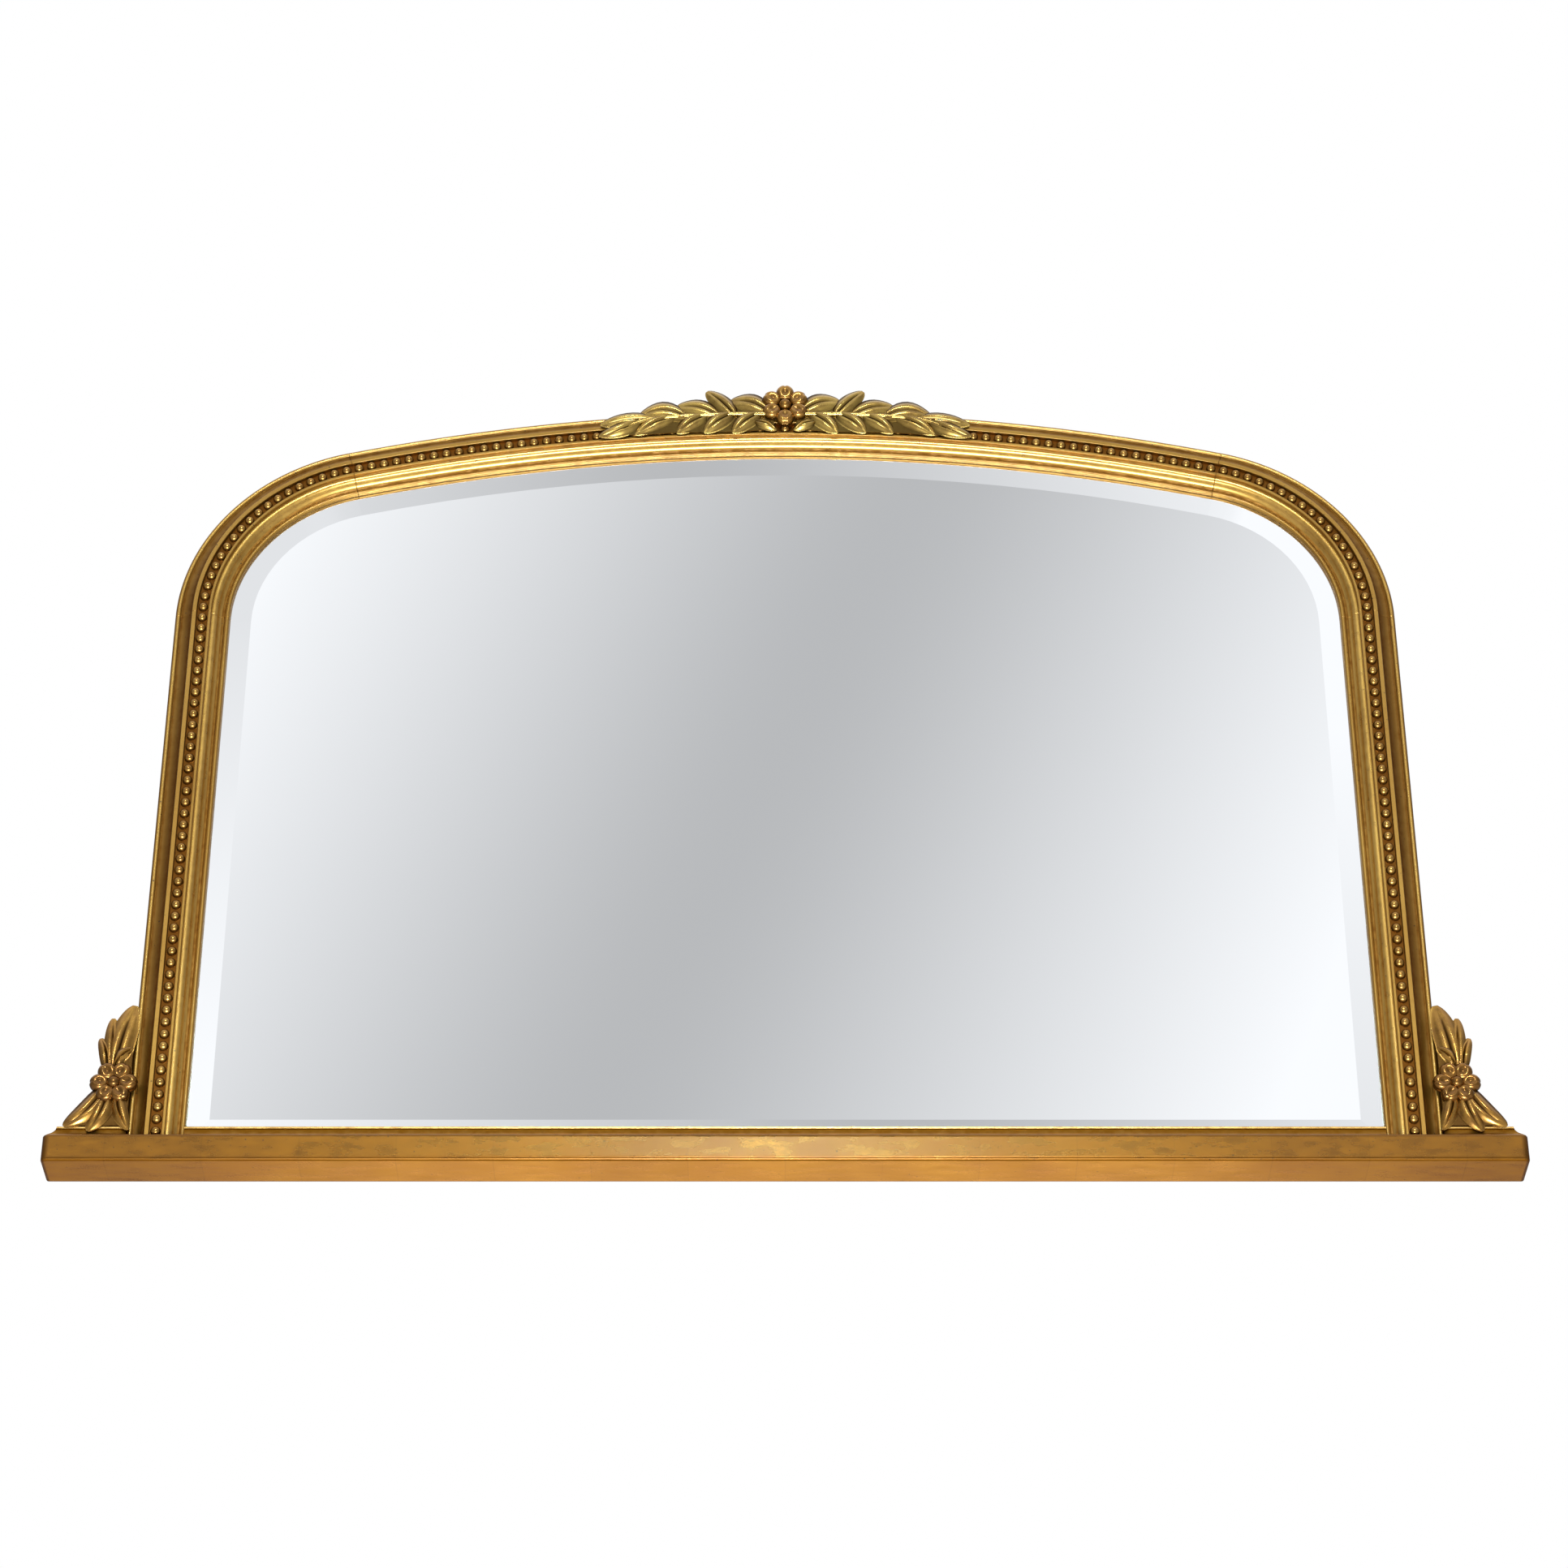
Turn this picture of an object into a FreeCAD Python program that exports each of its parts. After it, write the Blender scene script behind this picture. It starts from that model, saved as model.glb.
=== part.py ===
"""Arched overmantel mirror: gilt moulding with a bead row, bevelled glass, plank base and leaf ornaments.

Millimetres. X runs to the right, Y towards the wall and Z up. The origin is the middle of the base's
lower back edge, where the wall meets a shelf, so the front of the mirror faces -Y.
"""
import FreeCAD
import Part
import Sketcher
import math
import os
import sys

Vector = FreeCAD.Vector

doc = FreeCAD.newDocument("OvermantelMirror")
sheet = doc.addObject("Spreadsheet::Sheet", "Sizes")

# Driving sizes
SIZES = {
    # base plank and the stepped cap on it
    "base_overhang": 69.5,
    "base_height": 25.5,
    "base_edge_radius": 2.5,
    "base_end_radius": 2.0,
    "cap_height": 12.0,
    "cap_setback": 6.0,
    "cap_end_setback": 8.0,
    "cap_cove_reach": 3.5,
    "cap_lip_depth": 8.5,
    "cap_lip_height": 3.0,
    "cap_lip_overhang": 1.5,
    "cap_glass_gap": 0.3,
    # arch, measured on the outer edge of the moulding
    "frame_width": 1131.0,
    "arch_height": 816.0,
    "shoulder_radius": 196.0,
    "head_radius": 1772.0,
    # moulding: widths from its outer edge inwards, and levels in front of the wall
    "moulding_width": 50.0,
    "back_level": 6.5,
    "astragal_width": 5.0,
    "astragal_level": 24.5,
    "quirk_width": 0.6,
    "cove_width": 10.9,
    "band_level": 35.0,
    "band_edge": 1.0,
    "outer_fillet_width": 4.0,
    "channel_width": 11.0,
    "channel_depth": 4.5,
    "inner_fillet_width": 2.5,
    "step_level": 30.8,
    "step_width": 1.2,
    "groove_width": 2.4,
    "lip_width": 4.6,
    "lip_thickness": 2.5,
    # glass, its rebates and the back board
    "glass_thickness": 4.0,
    "glass_overlap": 8.0,
    "glass_drop": 4.0,
    "glass_sink": 5.5,
    "glass_back_level": 18.6,
    "glass_play": 0.1,
    "glass_side_gap": 1.0,
    "bevel_width": 28.0,
    "bevel_depth": 2.5,
    "board_rebate_width": 22.0,
    "board_thickness": 4.0,
    "board_clearance": 0.4,
    "glass_groove_side_gap": 0.5,
    "glass_groove_end_gap": 2.0,
    "setting_pad_thickness": 2.0,
    "setting_pad_length": 60.0,
    "setting_pad_offset": 340.0,
    # bead row
    "bead_side_gap": 0.9,
    "bead_pitch": 12.0,
    "bead_seat": 1.0,
    "strip_thickness": 1.0,
    "strip_side_gap": 0.3,
    # dowels and screws
    "dowel_radius": 4.0,
    "dowel_length": 30.0,
    "dowel_spare": 0.5,
    "dowel_inset": 14.0,
    "dowel_level": 16.5,
    "fit_clearance": 0.05,
    "screw_radius": 1.75,
    "screw_head_radius": 3.5,
    "screw_head_height": 1.8,
    "screw_length": 13.0,
    "screw_spare": 0.2,
    "board_screw_edge": 6.5,
    "board_screw_end": 97.0,
    # hangers on the backs of the stiles
    "hanger_inset": 14.0,
    "hanger_drop": 54.0,
    "strap_width": 12.0,
    "strap_length": 44.0,
    "strap_thickness": 1.0,
    "strap_screw_first": 9.0,
    "strap_screw_end": 12.0,
    "knuckle_lift": 0.25,
    "ring_wire_radius": 1.3,
    "ring_side_play": 0.8,
    "ring_leg": 2.5,
    "ring_corner_radius": 3.5,
    "ring_play": 0.1,
    # ornaments
    "ornament_gap": 0.3,
    "leaf_height": 5.5,
    "leaf_stagger": 0.25,
    "crest_ground": 1.2,
    "stem_radius": 3.0,
    "stem_lift": 1.0,
    "crest_drop": 3.0,
    "crest_half_length": 177.0,
    "crest_flower_reach": 15.0,
    "crest_petal_radius": 8.5,
    "corner_height": 127.0,
    "corner_flower_offset": 15.5,
    "corner_flower_rise": 42.5,
    "corner_flower_reach": 12.0,
    "corner_petal_radius": 7.0,
    "corner_block_width": 44.0,
    "corner_block_height": 92.0,
    "corner_block_top": 8.0,
    "corner_block_back": 8.0,
    "corner_block_bite": 1.0,
}

for row, (alias, value) in enumerate(SIZES.items(), start=1):
    sheet.set(f"A{row}", alias)
    sheet.set(f"B{row}", str(value))
    sheet.setAlias(f"B{row}", alias)
doc.recompute()


class Size:
    """A size with its value and the sheet formula that gives it, so features can be bound to the sheet."""

    def __init__(self, value, formula):
        self.value = float(value)
        self.formula = formula

    def __add__(self, other):
        other = sized(other)
        return Size(self.value + other.value, f"({self.formula} + {other.formula})")

    def __sub__(self, other):
        other = sized(other)
        return Size(self.value - other.value, f"({self.formula} - {other.formula})")

    def __mul__(self, other):
        other = sized(other)
        return Size(self.value * other.value, f"({self.formula} * {other.formula})")

    def __truediv__(self, other):
        other = sized(other)
        return Size(self.value / other.value, f"({self.formula} / {other.formula})")

    def __neg__(self):
        return Size(-self.value, f"(0 - {self.formula})")

    def __float__(self):
        return self.value


def sized(number):
    return number if isinstance(number, Size) else Size(number, repr(float(number)))


def root(size):
    return Size(math.sqrt(size.value), f"sqrt({size.formula})")


def cell(alias):
    return Size(sheet.get(alias), f"Sizes.{alias}")


def bind(obj, prop, size):
    obj.setExpression(prop, sized(size).formula)


# Arcs of the mouldings: radius as a share of the chord, where a half circle is 0.5
ASTRAGAL_ROUND = 0.52
COVE_ROUND = 0.76
OGEE_ROUND = 0.97
OGEE_HOLLOW = 1.11
LIP_ROUND = 0.53
CAP_COVE_ROUND = 0.78
CORNER_BLOCK_HOLLOW = 0.91

# Where the ogee turns from round to hollow, as shares of its width and of its fall
OGEE_TURN_ACROSS = 0.51
OGEE_TURN_DOWN = 0.32

# Sizes that follow from the sheet
half_width = cell("frame_width") / 2
half_base = half_width + cell("base_overhang")
base_top = cell("base_height")
cap_top = base_top + cell("cap_height")
shoulder_radius = cell("shoulder_radius")
head_radius = cell("head_radius")
shoulder_out = half_width - shoulder_radius
head_centre = cell("arch_height") - head_radius
radius_difference = head_radius - shoulder_radius
centre_rise = root(radius_difference * radius_difference - shoulder_out * shoulder_out)
springing = head_centre + centre_rise
head_half_angle = Size(
    math.degrees(math.atan2(float(shoulder_out), float(centre_rise))),
    f"atan({shoulder_out.formula} / {centre_rise.formula})",
)
shoulder_angle = Size(
    math.degrees(math.atan2(float(centre_rise), float(shoulder_out))),
    f"atan({centre_rise.formula} / {shoulder_out.formula})",
)
cove_start = cell("astragal_width") + cell("quirk_width")
cove_end = cove_start + cell("cove_width")
channel_start = cove_end + cell("outer_fillet_width")
channel_end = channel_start + cell("channel_width")
band_end = channel_end + cell("inner_fillet_width")
ogee_start = band_end + cell("step_width")
groove_end = cell("moulding_width") - cell("lip_width")
groove_start = groove_end - cell("groove_width")
bead_inset = channel_start + cell("channel_width") / 2
bead_radius = cell("channel_width") / 2 - cell("bead_side_gap")
channel_level = cell("band_level") - cell("channel_depth")
bead_level = channel_level + cell("bead_seat")
sight_inset = cell("moulding_width")
glass_inset = sight_inset - cell("glass_overlap")
rebate_inset = glass_inset - cell("glass_side_gap")
glass_bottom = base_top - cell("glass_sink")
glass_front_level = cell("glass_back_level") + cell("glass_thickness")
board_rebate = sight_inset - cell("board_rebate_width")
board_back_level = cell("glass_back_level") - cell("board_thickness")
board_inset = board_rebate + cell("board_clearance")


def bevel_level(from_edge):
    """Level of the bevel's face at a distance from the edge of the glass."""
    return glass_front_level - cell("bevel_depth") * (cell("bevel_width") - from_edge) / cell("bevel_width")


rebate_level = bevel_level(cell("glass_overlap")) + cell("glass_play")
groove_level = rebate_level + cell("lip_thickness")
cap_back_level = bevel_level(cap_top - glass_bottom) + cell("cap_glass_gap")
cap_lip_level = cap_back_level + cell("cap_lip_depth")
cap_front_level = cap_lip_level + cell("cap_cove_reach")
base_depth = cap_front_level + cell("cap_setback")

nodes = {}


def node(label, obj):
    """Give a finished piece the name of its file."""
    obj.Label = label
    nodes[label] = obj
    return obj


# Sketches and features

def origin_plane(body, role):
    return [f for f in body.Origin.OriginFeatures if f.Role == role][0]


def add_edge(sketch, start, end, arc, outline_is_left_handed):
    """Add one edge; returns which end of the geometry is the start and which the end of the path."""
    p0 = Vector(float(start[0]), float(start[1]), 0)
    p1 = Vector(float(end[0]), float(end[1]), 0)
    if arc is None:
        sketch.addGeometry(Part.LineSegment(p0, p1), False)
        return 1, 2
    kind, radius = arc
    chord = p1 - p0
    left = Vector(-chord.y, chord.x, 0).normalize()
    centre_is_left = (kind == "round") == outline_is_left_handed
    reach = math.sqrt(float(radius) ** 2 - (chord.Length / 2) ** 2)
    centre = (p0 + p1) / 2 + left * (reach if centre_is_left else -reach)
    circle = Part.Circle(centre, Vector(0, 0, 1), float(radius))
    from_point, to_point = (p0, p1) if centre_is_left else (p1, p0)
    first = math.atan2(from_point.y - centre.y, from_point.x - centre.x)
    last = math.atan2(to_point.y - centre.y, to_point.x - centre.x)
    sketch.addGeometry(Part.ArcOfCircle(circle, first, last), False)
    return (1, 2) if centre_is_left else (2, 1)


def with_radius(corner, following):
    """Corner whose arc has its radius as a size."""
    if len(corner) < 3 or isinstance(corner[2][1], Size):
        return corner
    kind, share = corner[2]
    run = sized(following[0]) - corner[0]
    rise = sized(following[1]) - corner[1]
    return corner[0], corner[1], (kind, root(run * run + rise * rise) * share)


def closed_sketch(body, name, plane, corners, offset=(0, 0, 0)):
    """Closed outline. A corner is (u, v), or (u, v, ("round" or "hollow", radius)) where an arc leaves it.

    A radius that is a plain number is a share of the arc's chord.
    """
    sketch = body.newObject("Sketcher::SketchObject", name)
    sketch.AttachmentSupport = [(origin_plane(body, plane), "")]
    sketch.MapMode = "FlatFace"
    for axis, size in zip("xyz", offset):
        bind(sketch, f"AttachmentOffset.Base.{axis}", size)
    count = len(corners)
    corners = [with_radius(corners[i], corners[(i + 1) % count]) for i in range(count)]
    area = 0.0
    for i in range(count):
        a, b = corners[i], corners[(i + 1) % count]
        area += float(a[0]) * float(b[1]) - float(b[0]) * float(a[1])
    ends = []
    for i in range(count):
        arc = corners[i][2] if len(corners[i]) > 2 else None
        ends.append(add_edge(sketch, corners[i], corners[(i + 1) % count], arc, area > 0))
    for i in range(count):
        following = (i + 1) % count
        sketch.addConstraint(Sketcher.Constraint("Coincident", i, ends[i][1], following, ends[following][0]))
    for i, corner in enumerate(corners):
        for kind, axis_geometry, coordinate in (("DistanceX", -2, corner[0]), ("DistanceY", -1, corner[1])):
            size = sized(coordinate)
            if abs(size.value) < 1e-9:
                sketch.addConstraint(Sketcher.Constraint("PointOnObject", i, ends[i][0], axis_geometry))
                continue
            index = sketch.addConstraint(Sketcher.Constraint(kind, -1, 1, i, ends[i][0], size.value))
            bind(sketch, f"Constraints[{index}]", size)
        if len(corner) > 2:
            radius = sized(corner[2][1])
            index = sketch.addConstraint(Sketcher.Constraint("Radius", i, radius.value))
            bind(sketch, f"Constraints[{index}]", radius)
    return sketch


def new_body(name):
    return doc.addObject("PartDesign::Body", name)


def pad(body, sketch, length, midplane=False):
    feature = body.newObject("PartDesign::Pad", sketch.Name + "Pad")
    feature.Profile = sketch
    feature.Midplane = midplane
    bind(feature, "Length", length)
    return feature


def revolve(body, sketch, axis, angle, midplane=False, backwards=False):
    feature = body.newObject("PartDesign::Revolution", sketch.Name + "Turn")
    feature.Profile = sketch
    feature.ReferenceAxis = (sketch, [axis])
    feature.Midplane = midplane
    feature.Reversed = backwards
    bind(feature, "Angle", angle)
    return feature


def primitive(kind, name, at, **sizes):
    obj = doc.addObject(f"Part::{kind}", name)
    for prop, size in sizes.items():
        bind(obj, prop, size)
    for axis, size in zip("xyz", at):
        bind(obj, f"Placement.Base.{axis}", size)
    return obj


def turned(obj, axis, degrees):
    """Turn a primitive about its own start; its place stays bound to the sheet."""
    obj.Placement.Rotation = FreeCAD.Rotation(axis, degrees)
    return obj


def compound(name, pieces):
    obj = doc.addObject("Part::Compound", name)
    obj.Links = pieces
    return obj


def mirrored(name, source):
    obj = doc.addObject("Part::Mirroring", name)
    obj.Source = source
    obj.Base = (0, 0, 0)
    obj.Normal = (1, 0, 0)
    return obj


def cut(name, base, tool):
    obj = doc.addObject("Part::Cut", name)
    obj.Base = base
    obj.Tool = tool
    return obj


def fuse(name, base, tool):
    obj = doc.addObject("Part::Fuse", name)
    obj.Base = base
    obj.Tool = tool
    return obj


def shaped(name, shape):
    obj = doc.addObject("Part::Feature", name)
    obj.Shape = shape
    return obj


# Moulding

def moulding_section():
    """Section of the moulding as (inset from the outer edge, level in front of the wall, arc)."""
    band = cell("band_level")
    step = cell("step_level")
    back = cell("back_level")
    width = cell("moulding_width")
    astragal = cell("astragal_level")
    ledge = cell("glass_back_level")
    turn = ogee_start + (groove_start - ogee_start) * OGEE_TURN_ACROSS
    turn_level = step - (step - groove_level) * OGEE_TURN_DOWN
    return [
        (sized(0), back),
        (sized(0), astragal, ("round", ASTRAGAL_ROUND)),
        (cell("astragal_width"), astragal),
        (cove_start, astragal, ("hollow", COVE_ROUND)),
        (cove_end, band - cell("band_edge")),
        (cove_end, band),
        (channel_start, band),
        (channel_start, channel_level),
        (channel_end, channel_level),
        (channel_end, band),
        (band_end, band),
        (band_end, step),
        (ogee_start, step, ("round", OGEE_ROUND)),
        (turn, turn_level, ("hollow", OGEE_HOLLOW)),
        (groove_start, groove_level),
        (groove_end, groove_level, ("round", LIP_ROUND)),
        (width, groove_level),
        (width, rebate_level),
        (rebate_inset, rebate_level),
        (rebate_inset, ledge),
        (board_rebate, ledge),
        (board_rebate, back),
    ]


def section_corners(place):
    """Map the section's corners to a sketch with place(inset, level)."""
    return [(*place(entry[0], entry[1]), *entry[2:]) for entry in moulding_section()]


stile_body = new_body("StileBlank")
stile_sketch = closed_sketch(
    stile_body,
    "StileSection",
    "XY_Plane",
    section_corners(lambda inset, level: (half_width - inset, -level)),
    (0, 0, base_top),
)
pad(stile_body, stile_sketch, springing - base_top)

shoulder_body = new_body("ShoulderBlank")
shoulder_sketch = closed_sketch(
    shoulder_body,
    "ShoulderSection",
    "XY_Plane",
    section_corners(lambda inset, level: (shoulder_radius - inset, -level)),
    (shoulder_out, 0, springing),
)
revolve(shoulder_body, shoulder_sketch, "V_Axis", shoulder_angle, backwards=True)

head_body = new_body("HeadBlank")
head_sketch = closed_sketch(
    head_body,
    "HeadSection",
    "YZ_Plane",
    section_corners(lambda inset, level: (-level, head_radius - inset)),
    (0, head_centre, 0),
)
revolve(head_body, head_sketch, "H_Axis", head_half_angle * 2, midplane=True)


# Dowels in the seams of the frame

def seam_point(inset):
    """Point on the seam between shoulder and head, at an inset from the outer edge."""
    share = (head_radius - inset) / radius_difference
    return share * shoulder_out, head_centre + share * centre_rise


def seam_dowels(name, radius, length):
    """The three dowels of the right side: base to stile, stile to shoulder, shoulder to head."""
    inset = cell("dowel_inset")
    depth = -cell("dowel_level")
    across = half_width - inset
    half = length / 2
    seam_x, seam_z = seam_point(inset)
    run_x = centre_rise / radius_difference * half
    run_z = shoulder_out / radius_difference * half
    size = {"Radius": radius, "Height": length}
    low = primitive("Cylinder", name + "Low", (across, depth, base_top - half), **size)
    mid = primitive("Cylinder", name + "Mid", (across, depth, springing - half), **size)
    high = primitive("Cylinder", name + "High", (seam_x + run_x, depth, seam_z - run_z), **size)
    turned(high, Vector(0, -1, 0), float(shoulder_angle))
    bind(high, "Placement.Rotation.Angle", shoulder_angle)
    return compound(name, [low, mid, high])


dowels_right = seam_dowels("DowelsRight", cell("dowel_radius"), cell("dowel_length"))
dowels_left = mirrored("DowelsLeft", dowels_right)
node("joint_dowels", compound("Dowels", [dowels_right, dowels_left]))
dowel_holes_right = seam_dowels(
    "DowelHolesRight",
    cell("dowel_radius") + cell("fit_clearance"),
    cell("dowel_length") + cell("dowel_spare") * 2,
)
dowel_holes_left = mirrored("DowelHolesLeft", dowel_holes_right)


# Screws, countersunk heads towards the wall

def screw(name, x, level, z, hole):
    """One countersunk screw driven forwards from a face at the given level, or the hole for it."""
    grow = cell("fit_clearance") if hole else sized(0)
    deeper = cell("screw_spare") if hole else sized(0)
    head = primitive(
        "Cone",
        name + "Head",
        (x, -level, z),
        Radius1=cell("screw_head_radius") + grow,
        Radius2=cell("screw_radius") + grow,
        Height=cell("screw_head_height"),
    )
    shank = primitive(
        "Cylinder",
        name + "Shank",
        (x, -level, z),
        Radius=cell("screw_radius") + grow,
        Height=cell("screw_length") + deeper,
    )
    for piece in (head, shank):
        turned(piece, Vector(1, 0, 0), 90)
    return fuse(name, head, shank)


def arc_place(radius, inset, centre_x, centre_z, share, angle):
    """Point on an arc of the frame, at a share of that arc's angle from the vertical."""
    reach = radius - inset
    turn = f"({share} * {angle.formula})"
    degrees = share * angle.value
    across = Size(math.sin(math.radians(degrees)), f"sin({turn})")
    up = Size(math.cos(math.radians(degrees)), f"cos({turn})")
    return centre_x + reach * across, centre_z + reach * up


STILE_SCREWS = 3
HEAD_SCREW_SHARE = 0.55
board_screw_inset = board_rebate + cell("board_screw_edge")


def board_screw_places():
    """Places of the board's screws: up the right stile, round its shoulder and over half of the head."""
    inset = board_screw_inset
    lowest = base_top + cell("board_screw_end")
    spacing = (springing - cell("board_screw_end") - lowest) / (STILE_SCREWS - 1)
    places = [(half_width - inset, lowest + spacing * step) for step in range(STILE_SCREWS)]
    diagonal = (shoulder_radius - inset) * math.sqrt(0.5)
    places.append((shoulder_out + diagonal, springing + diagonal))
    places.append(arc_place(head_radius, inset, sized(0), head_centre, HEAD_SCREW_SHARE, head_half_angle))
    return places


def board_screws(name, hole):
    right = []
    for i, (x, z) in enumerate(board_screw_places()):
        right.append(screw(f"{name}Right{i}", x, board_back_level, z, hole))
    right_group = compound(name + "Right", right)
    left_group = mirrored(name + "Left", right_group)
    top_height = cell("arch_height") - board_screw_inset
    top = screw(name + "Top", sized(0), board_back_level, top_height, hole)
    return right_group, left_group, top


screws_right, screws_left, screw_top = board_screws("BoardScrew", False)
node("back_board_screws", compound("BoardScrews", [screws_right, screws_left, screw_top]))
screw_holes_right, screw_holes_left, screw_hole_top = board_screws("BoardScrewHole", True)

hanger_x = half_width - cell("hanger_inset")
hanger_height = springing - cell("hanger_drop")
strap_face = cell("back_level") - cell("strap_thickness")


def hanger_screws(name, hole):
    first = hanger_height - cell("strap_screw_first")
    second = hanger_height - cell("strap_length") + cell("strap_screw_end")
    return compound(
        name,
        [
            screw(name + "First", hanger_x, strap_face, first, hole),
            screw(name + "Second", hanger_x, strap_face, second, hole),
        ],
    )


hanger_screws_right = hanger_screws("HangerScrewsRight", False)
hanger_screws_left = mirrored("HangerScrewsLeft", hanger_screws_right)
node("hanger_screws", compound("HangerScrews", [hanger_screws_right, hanger_screws_left]))
hanger_screw_holes = hanger_screws("HangerScrewHoles", True)

# Frame pieces, bored for their dowels and screws
stile_holes = compound("StileHoles", [dowel_holes_right, screw_holes_right, hanger_screw_holes])
right_stile = node("right_stile", cut("RightStile", stile_body, stile_holes))
node("left_stile", mirrored("LeftStile", right_stile))
shoulder_holes = compound("ShoulderHoles", [dowel_holes_right, screw_holes_right])
right_shoulder = node("right_shoulder", cut("RightShoulder", shoulder_body, shoulder_holes))
node("left_shoulder", mirrored("LeftShoulder", right_shoulder))
head_holes = compound(
    "HeadHoles",
    [dowel_holes_right, dowel_holes_left, screw_holes_right, screw_holes_left, screw_hole_top],
)
node("head_rail", cut("HeadRail", head_body, head_holes))


# Base plank with its groove for the glass

def softened_plank():
    """Plank with rounded front edges and ends; the back stays square against the wall."""
    body = new_body("PlankBlank")
    radius = cell("base_edge_radius")
    depth = -base_depth
    sketch = closed_sketch(
        body,
        "PlankSection",
        "YZ_Plane",
        [
            (sized(0), sized(0)),
            (sized(0), base_top),
            (depth + radius, base_top, ("round", radius)),
            (depth, base_top - radius),
            (depth, radius, ("round", radius)),
            (depth + radius, sized(0)),
        ],
    )
    plank = pad(body, sketch, half_base * 2, midplane=True)
    doc.recompute()
    end_edges = []
    for i, edge in enumerate(plank.Shape.Edges, start=1):
        box = edge.BoundBox
        on_end = box.XLength < 1e-6
        at_back = box.YMin > -1e-6
        if on_end and not at_back:
            end_edges.append(f"Edge{i}")
    fillet = body.newObject("PartDesign::Fillet", "PlankEnds")
    fillet.Base = (plank, end_edges)
    bind(fillet, "Radius", cell("base_end_radius"))
    return body


groove_front = glass_front_level + cell("glass_groove_side_gap")
groove_back = cell("glass_back_level") - cell("glass_groove_side_gap")
groove_floor = glass_bottom - cell("setting_pad_thickness")
groove_half = half_width - glass_inset + cell("glass_groove_end_gap")
groove = primitive(
    "Box",
    "GlassGroove",
    (-groove_half, -groove_front, groove_floor),
    Length=groove_half * 2,
    Width=groove_front - groove_back,
    Height=cell("base_height"),
)
base_cuts = compound("BaseCuts", [groove, dowel_holes_right, dowel_holes_left])
node("base_rail", cut("BaseRail", softened_plank(), base_cuts))


def setting_pads():
    """Cork pads in the groove, under the glass."""
    pads = []
    length = cell("setting_pad_length")
    offset = cell("setting_pad_offset")
    for side, start in (("Right", offset), ("Left", -offset - length)):
        pads.append(
            primitive(
                "Box",
                f"SettingPad{side}",
                (start, -glass_front_level, groove_floor),
                Length=length,
                Width=cell("glass_thickness"),
                Height=cell("setting_pad_thickness"),
            )
        )
    return compound("SettingPads", pads)


node("glass_setting_pads", setting_pads())


# Stepped cap on the plank: cove below, thin lip above

def cap_section(lip, back, inwards):
    """Cap section between its lip's front and its back; inwards is +1 or -1 along the section's axis."""
    cove_top = cap_top - cell("cap_lip_height")
    return [
        (back, base_top),
        (lip - cell("cap_cove_reach") * inwards, base_top, ("hollow", CAP_COVE_ROUND)),
        (lip + cell("cap_lip_overhang") * inwards, cove_top),
        (lip, cove_top),
        (lip, cap_top),
        (back, cap_top),
    ]


sight_half = half_width - sight_inset
cap_centre_body = new_body("CapCentre")
cap_centre_sketch = closed_sketch(
    cap_centre_body,
    "CapCentreSection",
    "YZ_Plane",
    cap_section(-cap_lip_level, -cap_back_level, 1),
)
pad(cap_centre_body, cap_centre_sketch, sight_half * 2, midplane=True)
node("base_cap_centre", cap_centre_body)


def cap_stub():
    """Cap outside the right stile, with its section returned round the end."""
    end = half_base - cell("cap_end_setback")
    lip = end - cell("cap_cove_reach")
    front_body = new_body("CapStubFront")
    front_sketch = closed_sketch(
        front_body,
        "CapStubFrontSection",
        "YZ_Plane",
        cap_section(-cap_lip_level, -cell("corner_block_back"), 1),
        (0, 0, half_width),
    )
    pad(front_body, front_sketch, end - half_width)
    end_body = new_body("CapStubEnd")
    end_sketch = closed_sketch(
        end_body,
        "CapStubEndSection",
        "XZ_Plane",
        cap_section(lip, half_width, -1),
    )
    pad(end_body, end_sketch, base_depth)
    common = doc.addObject("Part::Common", "CapStub")
    common.Base = front_body
    common.Tool = end_body
    return common


right_cap = node("base_cap_right", cap_stub())
node("base_cap_left", mirrored("CapStubLeft", right_cap))


# Glass and back board share the arched outline of the frame

def arched_outline(inset, bottom, drop):
    """Outline of a sheet that follows the arch at an inset, moved down by drop."""
    side = half_width - inset
    spring = springing - drop
    seam_x, seam_z = seam_point(inset)
    seam_z = seam_z - drop
    shoulder = shoulder_radius - inset
    head = head_radius - inset
    return [
        (-side, bottom),
        (side, bottom),
        (side, spring, ("round", shoulder)),
        (seam_x, seam_z, ("round", head)),
        (-seam_x, seam_z, ("round", shoulder)),
        (-side, spring),
    ]


def sheet_body(name, inset, bottom, drop, back_level, thickness):
    body = new_body(name)
    outline = arched_outline(inset, bottom, drop)
    sketch = closed_sketch(body, name + "Outline", "XZ_Plane", outline, (0, 0, back_level))
    return body, pad(body, sketch, thickness)


def bevelled_glass():
    body, plate = sheet_body(
        "MirrorGlass",
        glass_inset,
        glass_bottom,
        cell("glass_drop"),
        cell("glass_back_level"),
        cell("glass_thickness"),
    )
    doc.recompute()
    front = -float(glass_front_level)
    front_edges = []
    for i, edge in enumerate(plate.Shape.Edges, start=1):
        box = edge.BoundBox
        if abs(box.YMin - front) < 1e-6 and abs(box.YMax - front) < 1e-6:
            front_edges.append(f"Edge{i}")
    bevel = body.newObject("PartDesign::Chamfer", "GlassBevel")
    bevel.Base = (plate, front_edges)
    bevel.ChamferType = "Two distances"
    bevel.FlipDirection = False
    bind(bevel, "Size", cell("bevel_depth"))
    bind(bevel, "Size2", cell("bevel_width"))
    return body


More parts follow.
